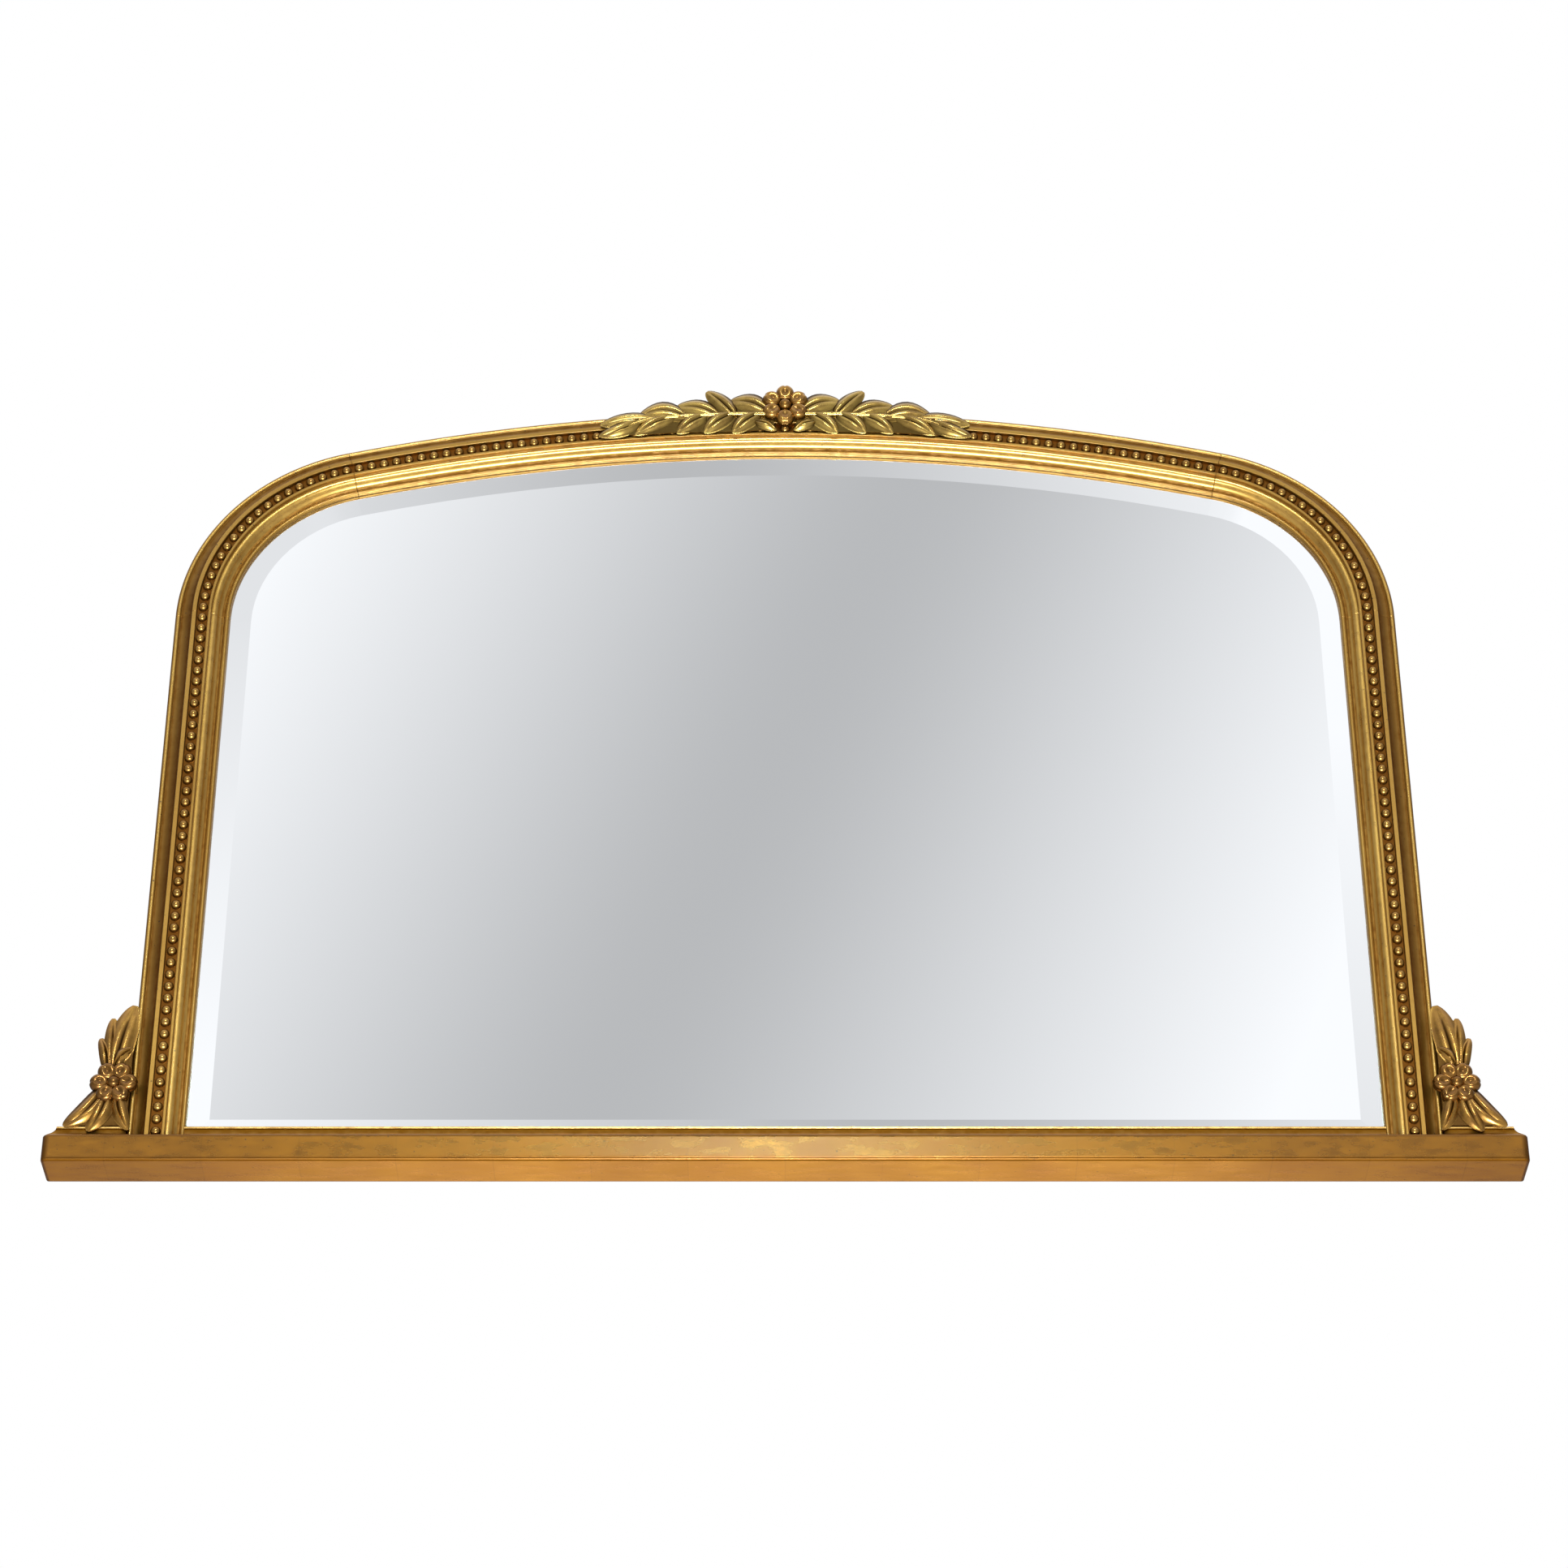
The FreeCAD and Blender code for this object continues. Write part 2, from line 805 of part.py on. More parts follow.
node("mirror_glass", bevelled_glass())
board_bottom = base_top + cell("board_clearance")
board_body, board_pad = sheet_body(
    "BoardBlank",
    board_inset,
    board_bottom,
    sized(0),
    board_back_level,
    cell("board_thickness"),
)
board_holes = compound("BoardHoles", [screw_holes_right, screw_holes_left, screw_hole_top])
node("back_board", cut("BackBoard", board_body, board_holes))


def front_half(shape, level):
    """Keep what lies in front of a level."""
    box = shape.BoundBox
    margin = box.XLength
    block = Part.makeBox(
        box.XLength + 2 * margin,
        -level - box.YMin + margin,
        box.ZLength + 2 * margin,
        Vector(box.XMin - margin, box.YMin - margin, box.ZMin - margin),
    )
    return shape.common(block)


# Bead row: a thin strip in the channel that carries the beads

def bead(x, z):
    """Ball seated on the channel's floor, flat at the back."""
    radius = float(bead_radius)
    ball = Part.makeSphere(radius, Vector(x, -float(bead_level), z))
    return front_half(ball, float(channel_level))


def strip_section(x, z, along_x):
    """Rectangle of the strip's section at a point of the bead line; along_x says where its width points."""
    half = float(cell("channel_width")) / 2 - float(cell("strip_side_gap"))
    floor = -float(channel_level)
    front = floor - float(cell("strip_thickness"))
    across = Vector(half, 0, 0) if along_x else Vector(0, 0, half)
    centre = Vector(x, 0, z)
    corners = [centre - across, centre + across, centre + across, centre - across]
    levels = [floor, floor, front, front]
    points = [Vector(c.x, level, c.z) for c, level in zip(corners, levels)]
    return Part.Face(Part.makePolygon(points + [points[0]]))


def straight_beads():
    x = float(half_width - bead_inset)
    low = float(base_top)
    length = float(springing) - low
    strip = strip_section(x, low, True).extrude(Vector(0, 0, length))
    count = max(2, round(length / float(cell("bead_pitch"))))
    pitch = length / count
    balls = [bead(x, low + pitch * (i + 0.5)) for i in range(count)]
    return strip.multiFuse(balls).removeSplitter()


def arc_beads(radius, centre_x, centre_z, start, sweep):
    """Beads round an arc; start is measured from the vertical and sweep turns it clockwise, in degrees."""
    reach = float(radius - bead_inset)
    centre = Vector(float(centre_x), 0, float(centre_z))
    section = strip_section(centre.x, centre.z + reach, False)
    section.rotate(centre, Vector(0, 1, 0), start)
    strip = section.revolve(centre, Vector(0, 1, 0), sweep)
    length = math.radians(sweep) * reach
    count = max(2, round(length / float(cell("bead_pitch"))))
    balls = []
    for i in range(count):
        angle = math.radians(start + sweep * (i + 0.5) / count)
        balls.append(bead(centre.x + reach * math.sin(angle), centre.z + reach * math.cos(angle)))
    return strip.multiFuse(balls).removeSplitter()


right_stile_beads = node("right_stile_beads", shaped("RightStileBeads", straight_beads()))
node("left_stile_beads", mirrored("LeftStileBeads", right_stile_beads))
half_head = float(head_half_angle)
right_shoulder_beads = node(
    "right_shoulder_beads",
    shaped(
        "RightShoulderBeads",
        arc_beads(shoulder_radius, shoulder_out, springing, half_head, float(shoulder_angle)),
    ),
)
node("left_shoulder_beads", mirrored("LeftShoulderBeads", right_shoulder_beads))
node(
    "head_beads",
    shaped("HeadBeads", arc_beads(head_radius, sized(0), head_centre, -half_head, 2 * half_head)),
)


# Hangers: strap with a rolled knuckle, and a D ring that swings in it

knuckle_bore = cell("ring_wire_radius") + cell("ring_play")
knuckle_radius = knuckle_bore + cell("strap_thickness")
knuckle_level = cell("back_level") - knuckle_radius - cell("knuckle_lift")


def hanger_strap():
    width = cell("strap_width")
    left = hanger_x - width / 2
    plate = primitive(
        "Box",
        "StrapPlate",
        (left, -cell("back_level"), hanger_height - cell("strap_length")),
        Length=width,
        Width=cell("strap_thickness"),
        Height=cell("strap_length"),
    )
    knuckle_at = (left, -knuckle_level, hanger_height)
    knuckle = primitive("Cylinder", "StrapKnuckle", knuckle_at, Radius=knuckle_radius, Height=width)
    bore = primitive("Cylinder", "StrapBore", knuckle_at, Radius=knuckle_bore, Height=width)
    for piece in (knuckle, bore):
        turned(piece, Vector(0, 1, 0), 90)
    rolled = fuse("StrapRolled", plate, knuckle)
    holes = compound("StrapHoles", [bore, hanger_screw_holes])
    return cut("StrapRight", rolled, holes)


def ring_path():
    """Centre line of the D ring, hanging from its straight leg."""
    corner = float(cell("ring_corner_radius"))
    half = float(cell("strap_width")) / 2 + float(cell("ring_side_play")) + corner
    arm = corner + float(cell("ring_leg"))
    x = float(hanger_x)
    y = -float(knuckle_level)
    z = float(hanger_height)
    slack = corner * (1 - math.sqrt(0.5))

    def at(across, down):
        return Vector(x + across, y, z - down)

    edges = [
        Part.LineSegment(at(0, 0), at(half - corner, 0)).toShape(),
        Part.Arc(at(half - corner, 0), at(half - slack, slack), at(half, corner)).toShape(),
        Part.LineSegment(at(half, corner), at(half, arm)).toShape(),
        Part.Arc(at(half, arm), at(0, arm + half), at(-half, arm)).toShape(),
        Part.LineSegment(at(-half, arm), at(-half, corner)).toShape(),
        Part.Arc(at(-half, corner), at(-half + slack, slack), at(-half + corner, 0)).toShape(),
        Part.LineSegment(at(-half + corner, 0), at(0, 0)).toShape(),
    ]
    return Part.Wire(edges)


def d_ring():
    path = ring_path()
    start = path.Edges[0].Vertexes[0].Point
    wire = Part.Wire(Part.makeCircle(float(cell("ring_wire_radius")), start, Vector(1, 0, 0)))
    return path.makePipeShell([wire], True, False)


right_strap = node("hanger_strap_right", hanger_strap())
node("hanger_strap_left", mirrored("StrapLeft", right_strap))
right_ring = node("hanger_ring_right", shaped("RingRight", d_ring()))
node("hanger_ring_left", mirrored("RingLeft", right_ring))


# Ornaments: keeled leaves lofted from root to tip, and flowers of rounded petals

# Sections of a leaf as shares: along it, half its width there, and its keel's height there
LEAF_STATIONS = ((0.14, 0.28, 0.70), (0.42, 0.50, 1.00), (0.74, 0.40, 0.85), (0.93, 0.17, 0.50))


def leaf(root_at, tip_at, width, height, level):
    """Keeled leaf lying in front of a level; root and tip are (x, z) in the frame."""
    start = Vector(root_at[0], -level, root_at[1])
    end = Vector(tip_at[0], -level, tip_at[1])
    along = end - start
    side = Vector(along.z, 0, -along.x).normalize()
    rise = Vector(0, -1, 0)
    sections = [Part.Vertex(start)]
    for share, spread, keel in LEAF_STATIONS:
        middle = start + along * share
        left = middle - side * (width * spread)
        right = middle + side * (width * spread)
        top = middle + rise * (height * keel)
        sections.append(Part.makePolygon([left, top, right, left]))
    sections.append(Part.Vertex(end))
    return Part.makeLoft(sections, True, True)


def stem(points, radius, level):
    """Round stem through (x, z) points, as straight rods with a ball at each turn."""
    places = [Vector(x, -level, z) for x, z in points]
    pieces = []
    for first, second in zip(places, places[1:]):
        run = second - first
        pieces.append(Part.makeCylinder(radius, run.Length, first, run))
        pieces.append(Part.makeSphere(radius, second))
    return pieces


# Leaves of half the crest as (root, tip, width), outwards and upwards from the flower's centre,
# drawn for a half length of CREST_DRAWN
CREST_DRAWN = 177.0
CREST_LEAVES = (
    ((16, -7), (51, 8), 24),
    ((48, -11), (76, 17), 18),
    ((64, -11), (105, 2), 23),
    ((94, -13), (136, -10), 21),
    ((124, -16), (172, -22), 15),
    ((28, -20), (8, -29), 12),
    ((24, -10), (50, -33), 18),
    ((50, -11), (77, -34), 18),
    ((74, -12), (103, -34), 18),
    ((104, -14), (143, -39), 18),
    ((136, -19), (177, -40), 16),
)
CREST_STEM = ((14, -10), (52, -10), (91, -12), (129, -16), (152, -25))
CREST_GROUND = (
    (10, -28),
    (50, -32),
    (104, -33),
    (140, -37),
    (160, -37),
    (166, -26),
    (136, -13),
    (100, -2),
    (72, 6),
    (20, 2),
    (12, -8),
)

# Leaves of a corner as (root, tip, width), outwards and upwards from its flower's centre,
# drawn for a height of CORNER_DRAWN from the lowest tip to the highest
CORNER_DRAWN = 127.0
CORNER_LEAVES = (
    ((-3, 12), (-9, 80), 20),
    ((3, 14), (9, 62), 13),
    ((7, 12), (18, 46), 12),
    ((-3, 18), (-16, 38), 9),
    ((6, -6), (37, -38), 16),
    ((3, -10), (17, -47), 15),
    ((-5, -10), (-18, -46), 14),
)
LEAF_LAYERS = 4

crest_height = cell("arch_height") - cell("crest_drop")
crest_level = bead_level + bead_radius + cell("ornament_gap")
corner_out = half_width + cell("corner_flower_offset")
corner_flower_height = cap_top + cell("corner_flower_rise")
corner_level = cap_lip_level + cell("ornament_gap")


def spray(leaves, scale, centre_x, centre_z, level):
    """Leaves as solids, in a few layers so that they overlap like real ones."""
    height = float(cell("leaf_height"))
    stagger = float(cell("leaf_stagger"))
    solids = []
    for i, (root_at, tip_at, width) in enumerate(leaves):
        start = (centre_x + root_at[0] * scale, centre_z + root_at[1] * scale)
        end = (centre_x + tip_at[0] * scale, centre_z + tip_at[1] * scale)
        layer = level + stagger * (i % LEAF_LAYERS)
        solids.append(leaf(start, end, width * scale, height, layer))
    return solids


def crest_ground(scale, centre_z, level):
    """Thin ground behind the crest's leaves, which joins them."""
    outline = [Vector(x * scale, -level, centre_z + z * scale) for x, z in CREST_GROUND]
    face = Part.Face(Part.makePolygon(outline + outline[:1]))
    return face.extrude(Vector(0, -float(cell("crest_ground")), 0))


def crest_spray():
    level = float(crest_level)
    centre_z = float(crest_height)
    scale = float(cell("crest_half_length")) / CREST_DRAWN
    points = [(x * scale, centre_z + z * scale) for x, z in CREST_STEM]
    rods = stem(points, float(cell("stem_radius")), level + float(cell("stem_lift")))
    rod = front_half(rods[0].multiFuse(rods[1:]), level)
    leaves = spray(CREST_LEAVES, scale, 0, centre_z, level)
    return rod.multiFuse([crest_ground(scale, centre_z, level), *leaves])


def corner_spray():
    scale = float(cell("corner_height")) / CORNER_DRAWN
    return spray(CORNER_LEAVES, scale, float(corner_out), float(corner_flower_height), float(corner_level))


def corner_block():
    """Backing of the corner ornament: stands on the cap, against the outside of the stile."""
    body = new_body("CornerBlock")
    right = half_width + cell("corner_block_width")
    top = cap_top + cell("corner_block_height")
    sketch = closed_sketch(
        body,
        "CornerBlockOutline",
        "XZ_Plane",
        [
            (half_width, cap_top),
            (right, cap_top, ("hollow", CORNER_BLOCK_HOLLOW)),
            (half_width + cell("corner_block_top"), top),
            (half_width, top),
        ],
        (0, 0, cell("corner_block_back")),
    )
    pad(body, sketch, corner_level + cell("corner_block_bite") - cell("corner_block_back"))
    doc.recompute()
    return body.Shape.copy()


# Ball in the middle of a flower, as shares of a petal's radius: its size and how far it stands out
BOSS_SIZE = 0.85
BOSS_LIFT = 0.35
PETALS = 6


def flower(centre_x, centre_z, level, reach, petal_radius, count, phase):
    """Ring of rounded petals about a ball, flat at the back."""
    centre = Vector(centre_x, -level, centre_z)
    boss = Part.makeSphere(petal_radius * BOSS_SIZE, centre + Vector(0, -petal_radius * BOSS_LIFT, 0))
    petals = []
    for i in range(count):
        angle = math.radians(phase + 360 * i / count)
        offset = Vector(math.sin(angle) * reach, 0, math.cos(angle) * reach)
        petals.append(Part.makeSphere(petal_radius, centre + offset))
    return front_half(boss.multiFuse(petals), level)


crest_right = crest_spray()
crest_flower = flower(
    0,
    float(crest_height),
    float(crest_level),
    float(cell("crest_flower_reach")),
    float(cell("crest_petal_radius")),
    PETALS,
    0,
)


def corner_flower(side):
    """Flower of one corner; side is +1 on the right and -1 on the left."""
    return flower(
        side * float(corner_out),
        float(corner_flower_height),
        float(corner_level),
        float(cell("corner_flower_reach")),
        float(cell("corner_petal_radius")),
        PETALS,
        180 / PETALS,
    )


corner_leaves = corner_block().multiFuse(corner_spray())
node("crest_flower", shaped("CrestFlower", crest_flower))
right_crest = node("crest_spray_right", shaped("CrestSprayRight", crest_right.cut(crest_flower)))
node("crest_spray_left", mirrored("CrestSprayLeft", right_crest))
right_corner_flower = node("corner_flower_right", shaped("CornerFlowerRight", corner_flower(1)))
node("corner_flower_left", shaped("CornerFlowerLeft", corner_flower(-1)))
right_corner = node(
    "corner_spray_right",
    shaped("CornerSprayRight", corner_leaves.cut(right_corner_flower.Shape)),
)
node("corner_spray_left", mirrored("CornerSprayLeft", right_corner))

# Check and export
doc.recompute()
faults = [obj.Name for obj in doc.Objects if "Invalid" in obj.State or "Error" in obj.State]
for label, obj in nodes.items():
    if obj.Shape.isNull() or not obj.Shape.isValid() or not obj.Shape.Solids:
        faults.append(label)
if faults:
    sys.exit("Not built: " + ", ".join(faults))

os.makedirs("parts", exist_ok=True)
for label, obj in nodes.items():
    obj.Shape.exportStep(f"parts/{label}.step")
    box = obj.Shape.BoundBox
    print(
        f"{label}: {len(obj.Shape.Solids)} solids, {obj.Shape.Volume:.0f} mm3,"
        f" X {box.XMin:.1f} to {box.XMax:.1f}, Y {box.YMin:.1f} to {box.YMax:.1f},"
        f" Z {box.ZMin:.1f} to {box.ZMax:.1f}"
    )
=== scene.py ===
# %% [markdown]
# # An arched gilt overmantel mirror
# The real mirror is a wooden moulding bent into an arch and gilded. It has a row of moulded beads, a
# bevelled glass, a plank base and three leaf ornaments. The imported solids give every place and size, so
# each finer piece that is made here sits where its solid sits.

# %% Load the solids
import math
import bmesh
import bpy
from mathutils import Matrix, Vector


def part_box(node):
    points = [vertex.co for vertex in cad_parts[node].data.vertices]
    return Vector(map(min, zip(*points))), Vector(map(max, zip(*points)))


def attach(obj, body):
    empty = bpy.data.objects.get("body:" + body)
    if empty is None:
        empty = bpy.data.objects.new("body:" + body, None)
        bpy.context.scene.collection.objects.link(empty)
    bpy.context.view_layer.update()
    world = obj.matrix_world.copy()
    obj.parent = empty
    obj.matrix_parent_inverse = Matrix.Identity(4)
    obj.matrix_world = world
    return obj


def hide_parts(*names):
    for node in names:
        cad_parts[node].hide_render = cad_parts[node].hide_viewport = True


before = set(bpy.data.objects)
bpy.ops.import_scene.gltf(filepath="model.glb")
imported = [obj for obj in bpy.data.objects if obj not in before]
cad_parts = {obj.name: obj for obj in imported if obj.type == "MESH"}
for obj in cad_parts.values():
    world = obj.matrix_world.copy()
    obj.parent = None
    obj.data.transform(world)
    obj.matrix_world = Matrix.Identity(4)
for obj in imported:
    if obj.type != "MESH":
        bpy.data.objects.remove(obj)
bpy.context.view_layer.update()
scene = bpy.context.scene
MM = 0.001

# %% [markdown]
# ## Camera
# The photograph looks up at the mirror from below: the sides lean in and the underside of the base shows.
# A camera that stands low and far off, turned up, gives both at once, with no lens shift.

# %% Camera
TILT = math.radians(33)
DISTANCE = 3.842
AIM = Vector((-0.001, -0.035, 0.3845))
FOCAL_PIXELS = 5252.0
FRAME_PIXELS = 1932
SENSOR_WIDTH = 36

camera_data = bpy.data.cameras.new("camera")
camera_data.sensor_width = SENSOR_WIDTH
camera_data.lens = FOCAL_PIXELS / FRAME_PIXELS * SENSOR_WIDTH
camera = bpy.data.objects.new("camera", camera_data)
camera.location = AIM - DISTANCE * Vector((0, math.cos(TILT), math.sin(TILT)))
camera.rotation_euler = (math.radians(90) + TILT, 0, 0)
scene.collection.objects.link(camera)
scene.camera = camera
print("camera at", [round(v, 3) for v in camera.location], "lens", round(camera_data.lens, 1))

# %% [markdown]
# ## Shader nodes in short
# A material is a small network of nodes. These helpers add one node, set its inputs by name and join
# the inputs that are given as another node's output, so each finish below reads as a recipe.

# %% Node helpers
def add_node(tree, kind, settings=None, **inputs):
    """Add a shader node; an input is a value or another node's output, named or numbered as i0, i1."""
    new = tree.nodes.new(kind)
    for name, value in (settings or {}).items():
        setattr(new, name, value)
    for name, value in inputs.items():
        socket = new.inputs[int(name[1:])] if name[1:].isdigit() else new.inputs[name.replace("_", " ")]
        if isinstance(value, bpy.types.NodeSocket):
            tree.links.new(value, socket)
        else:
            socket.default_value = value
    return new


def maths(tree, operation, first, second=0.0):
    return add_node(tree, "ShaderNodeMath", {"operation": operation}, i0=first, i1=second).outputs[0]


def weighted(tree, first, second, share):
    """Two values added, the first by its share and the second by the rest."""
    rest = maths(tree, "MULTIPLY", second, 1 - share)
    return maths(tree, "ADD", maths(tree, "MULTIPLY", first, share), rest)


def spread(tree, value, low, high, to_low, to_high):
    """Map a value from one range to another, held within it."""
    new = add_node(tree, "ShaderNodeMapRange", None, i0=value, i1=low, i2=high, i3=to_low, i4=to_high)
    return new.outputs[0]


def between(tree, factor, first, second):
    """Mix two numbers."""
    new = add_node(tree, "ShaderNodeMix", {"data_type": "FLOAT"}, i0=factor, i2=first, i3=second)
    return new.outputs[0]


def mixed(tree, factor, first, second):
    """Mix two colours."""
    new = add_node(tree, "ShaderNodeMix", {"data_type": "RGBA"}, i0=factor, i6=first, i7=second)
    return new.outputs[2]


print("helpers for numbers and colours")

# %% Material helpers
def new_material(name):
    """An empty material with its tree and its main shader."""
    material = bpy.data.materials.new(name)
    material.use_nodes = True
    tree = material.node_tree
    return material, tree, tree.nodes["Principled BSDF"]


def object_place(tree):
    """Where a point lies on its object, which moves with the piece."""
    return add_node(tree, "ShaderNodeTexCoord").outputs["Object"]


def noise(tree, where, scale, detail):
    return add_node(tree, "ShaderNodeTexNoise", None, Vector=where, Scale=scale, Detail=detail).outputs[0]


def roughen(tree, shader, strength, distance, height):
    """Small bumps on a surface, from a height."""
    bump = add_node(tree, "ShaderNodeBump", None, Strength=strength, Distance=distance, Height=height)
    tree.links.new(bump.outputs[0], shader.inputs["Normal"])


def colour(red, green, blue):
    """Colour of a painted swatch, from 0 to 255, as linear light."""
    linear = []
    for channel in (red, green, blue):
        share = channel / 255
        linear.append(share / 12.92 if share <= 0.04045 else ((share + 0.055) / 1.055) ** 2.4)
    return (*linear, 1.0)


print("helpers for materials")

# %% [markdown]
# ## Studio
# The glass shows what is in front of it and above, so the room matters as much as the lamps. A large
# card stands far in front, beyond every camera, and carries one soft grey streak. The sides of the room
# are dim, which gives the gilding its brown shadows, and the floor in front is bright.

# %% Room
WHITE = (1, 1, 1, 1)
ROOM_TINT = (1.0, 0.97, 0.93, 1)
ROOM_FRONT, ROOM_SIDE, ROOM_CEILING = 0.5, 0.36, 0.75

world = bpy.data.worlds.new("studio")
world.use_nodes = True
scene.world = world
tree = world.node_tree
tree.nodes.clear()
sky = add_node(tree, "ShaderNodeTexCoord").outputs["Generated"]
direction = add_node(tree, "ShaderNodeSeparateXYZ", None, i0=sky)
sideways = maths(tree, "ABSOLUTE", direction.outputs[0])
walls = spread(tree, sideways, 0.4, 0.8, ROOM_FRONT, ROOM_SIDE)
overhead = spread(tree, direction.outputs[2], 0.55, 0.9, 0.0, ROOM_CEILING)
room_light = maths(tree, "ADD", walls, overhead)
room = add_node(tree, "ShaderNodeBackground", None, Color=ROOM_TINT, Strength=room_light)
sheet = add_node(tree, "ShaderNodeBackground", None, Color=WHITE, Strength=1.0)
seen = add_node(tree, "ShaderNodeLightPath").outputs["Is Camera Ray"]
backdrop = add_node(tree, "ShaderNodeMixShader", None, i0=seen, i1=room.outputs[0], i2=sheet.outputs[0])
add_node(tree, "ShaderNodeOutputWorld", None, Surface=backdrop.outputs[0])
scene.view_settings.view_transform = "Standard"
print("room light from", ROOM_SIDE, "to", ROOM_FRONT + ROOM_CEILING)


# %% Stage pieces
def stage_plane(name, width, height, place, turn_x, material):
    """A flat stage piece, centred on a place and turned about X."""
    bm = bmesh.new()
    bmesh.ops.create_grid(bm, x_segments=1, y_segments=1, size=0.5)
    bmesh.ops.scale(bm, vec=(width, height, 1), verts=bm.verts)
    bmesh.ops.rotate(bm, cent=(0, 0, 0), matrix=Matrix.Rotation(turn_x, 3, "X"), verts=bm.verts)
    bmesh.ops.translate(bm, vec=place, verts=bm.verts)
    mesh = bpy.data.meshes.new(name)
    bm.to_mesh(mesh)
    bm.free()
    mesh.materials.append(material)
    plane = bpy.data.objects.new(name, mesh)
    scene.collection.objects.link(plane)
    return plane


print("helper for the stage")

# %% [markdown]
# ## Reflected card
# The streak runs slantwise up the card and grows paler away from its middle line. Above and below the
# part that the glass shows, it stands upright: there it is seen only in the bevel, as a shifted copy.

# %% Reflected card
CARD_TINT = (0.962, 0.977, 1.0, 1)
CARD_WIDTH, CARD_HEIGHT, CARD_CENTRE = 12.0, 8.0, 5.6
CARD_AWAY, CARD_MIDDLE = 7.0, 4.81
STREAK_LEAN, STREAK_SHIFT = 0.408, 0.107
STREAK_DIM, STREAK_RISE, STREAK_SOFT = 0.415, 0.345, 0.12
HIGH_DIM, HIGH_RISE = 0.459, 0.22
STREAK_LOW, STREAK_HIGH = 0.29, -0.40
LOW_FROM, LOW_TO = 2.9, 3.3
HIGH_FROM, HIGH_TO = 6.45, 6.85
SIDE_FROM, SIDE_TO = 2.0, 2.4
SIDE_LEVEL, SIDE_LEAN = 0.98, 0.14
LEAN_FROM, LEAN_TO = 3.75, 5.75
BRIGHTEST = 1.06

card, tree, shader = new_material("reflected_card")
tree.nodes.remove(shader)
place = add_node(tree, "ShaderNodeSeparateXYZ", None, i0=object_place(tree))
across, height = place.outputs[0], place.outputs[2]
up = maths(tree, "SUBTRACT", height, CARD_MIDDLE)
streak = maths(tree, "SUBTRACT", maths(tree, "MULTIPLY", up, STREAK_LEAN), STREAK_SHIFT)
low_part = spread(tree, height, LOW_FROM, LOW_TO, 1.0, 0.0)
high_part = spread(tree, height, HIGH_FROM, HIGH_TO, 0.0, 1.0)
streak = between(tree, low_part, streak, STREAK_LOW)
streak = between(tree, high_part, streak, STREAK_HIGH)
away = maths(tree, "SUBTRACT", across, streak)
softened = maths(tree, "SQRT", maths(tree, "ADD", maths(tree, "MULTIPLY", away, away), STREAK_SOFT))
slope = between(tree, high_part, STREAK_RISE, HIGH_RISE)
valley = between(tree, high_part, STREAK_DIM, HIGH_DIM)
middle = maths(tree, "ADD", maths(tree, "MULTIPLY", softened, slope), valley)
rise = spread(tree, height, LEAN_FROM, LEAN_TO, -1.0, 1.0)
lean = maths(tree, "MULTIPLY", maths(tree, "SIGN", across), rise)
sides = maths(tree, "ADD", maths(tree, "MULTIPLY", lean, SIDE_LEAN), SIDE_LEVEL)
outer = spread(tree, maths(tree, "ABSOLUTE", across), SIDE_FROM, SIDE_TO, 0.0, 1.0)
level = between(tree, outer, middle, sides)
glow = add_node(tree, "ShaderNodeEmission", None, Color=CARD_TINT)
tree.links.new(maths(tree, "MINIMUM", level, BRIGHTEST), glow.inputs["Strength"])
tree.links.new(glow.outputs[0], tree.nodes["Material Output"].inputs["Surface"])
card_place = (0, -CARD_AWAY, CARD_CENTRE)
card_plane = stage_plane("reflected_card", CARD_WIDTH, CARD_HEIGHT, card_place, math.radians(90), card)
card_plane.visible_camera = False
print("card", CARD_AWAY, "m in front")

# %% Floor
FLOOR_SIZE, FLOOR_LEVEL = 24, -2.2

pale, tree, shader = new_material("pale_floor")
shader.inputs["Base Color"].default_value = (0.8, 0.79, 0.77, 1)
shader.inputs["Roughness"].default_value = 0.7
stage_plane("floor", FLOOR_SIZE, FLOOR_SIZE, (0, 0, FLOOR_LEVEL), 0, pale)
print("pale floor")

# %% [markdown]
# ## Lamps
# Two lamps lie on the floor and face up: a wide one for the undersides, and a small strong one that makes
# the pale flash along the head. One in front models the ornaments, one high up gives the sheen in the
# middle of the base, and one behind keeps the back from going black.

# %% Lamps
def area_lamp(name, place, aim, width, height, power, tint):
    lamp_data = bpy.data.lights.new(name, "AREA")
    lamp_data.shape = "RECTANGLE"
    lamp_data.size = width
    lamp_data.size_y = height
    lamp_data.energy = power
    lamp_data.color = tint
    lamp = bpy.data.objects.new(name, lamp_data)
    lamp.visible_camera = False
    lamp.location = place
    lamp.rotation_euler = (Vector(aim) - Vector(place)).to_track_quat("-Z", "Y").to_euler()
    scene.collection.objects.link(lamp)


area_lamp("floor_glow", (0, -2.0, -1.95), (0, -1.9, 3.0), 2.6, 1.7, 54, (0.95, 0.98, 1.0))
area_lamp("band_flash", (0, -2.0, -1.9), (0, -1.9, 3.0), 0.7, 0.3, 78, (0.86, 0.96, 1.0))
area_lamp("front_soft", (0.0, -6.0, 1.5), (0, 0, 0.2), 0.7, 0.6, 120, (1.0, 0.98, 0.94))
area_lamp("base_sheen", (0.0, -6.5, 3.42), (0, 0, 0.0), 0.6, 0.2, 29, (0.68, 1.0, 1.0))
area_lamp("behind_glow", (0, 2.9, -1.95), (0, 3.0, 3.0), 1.8, 1.8, 40, (0.84, 0.84, 0.46))
print("five lamps")

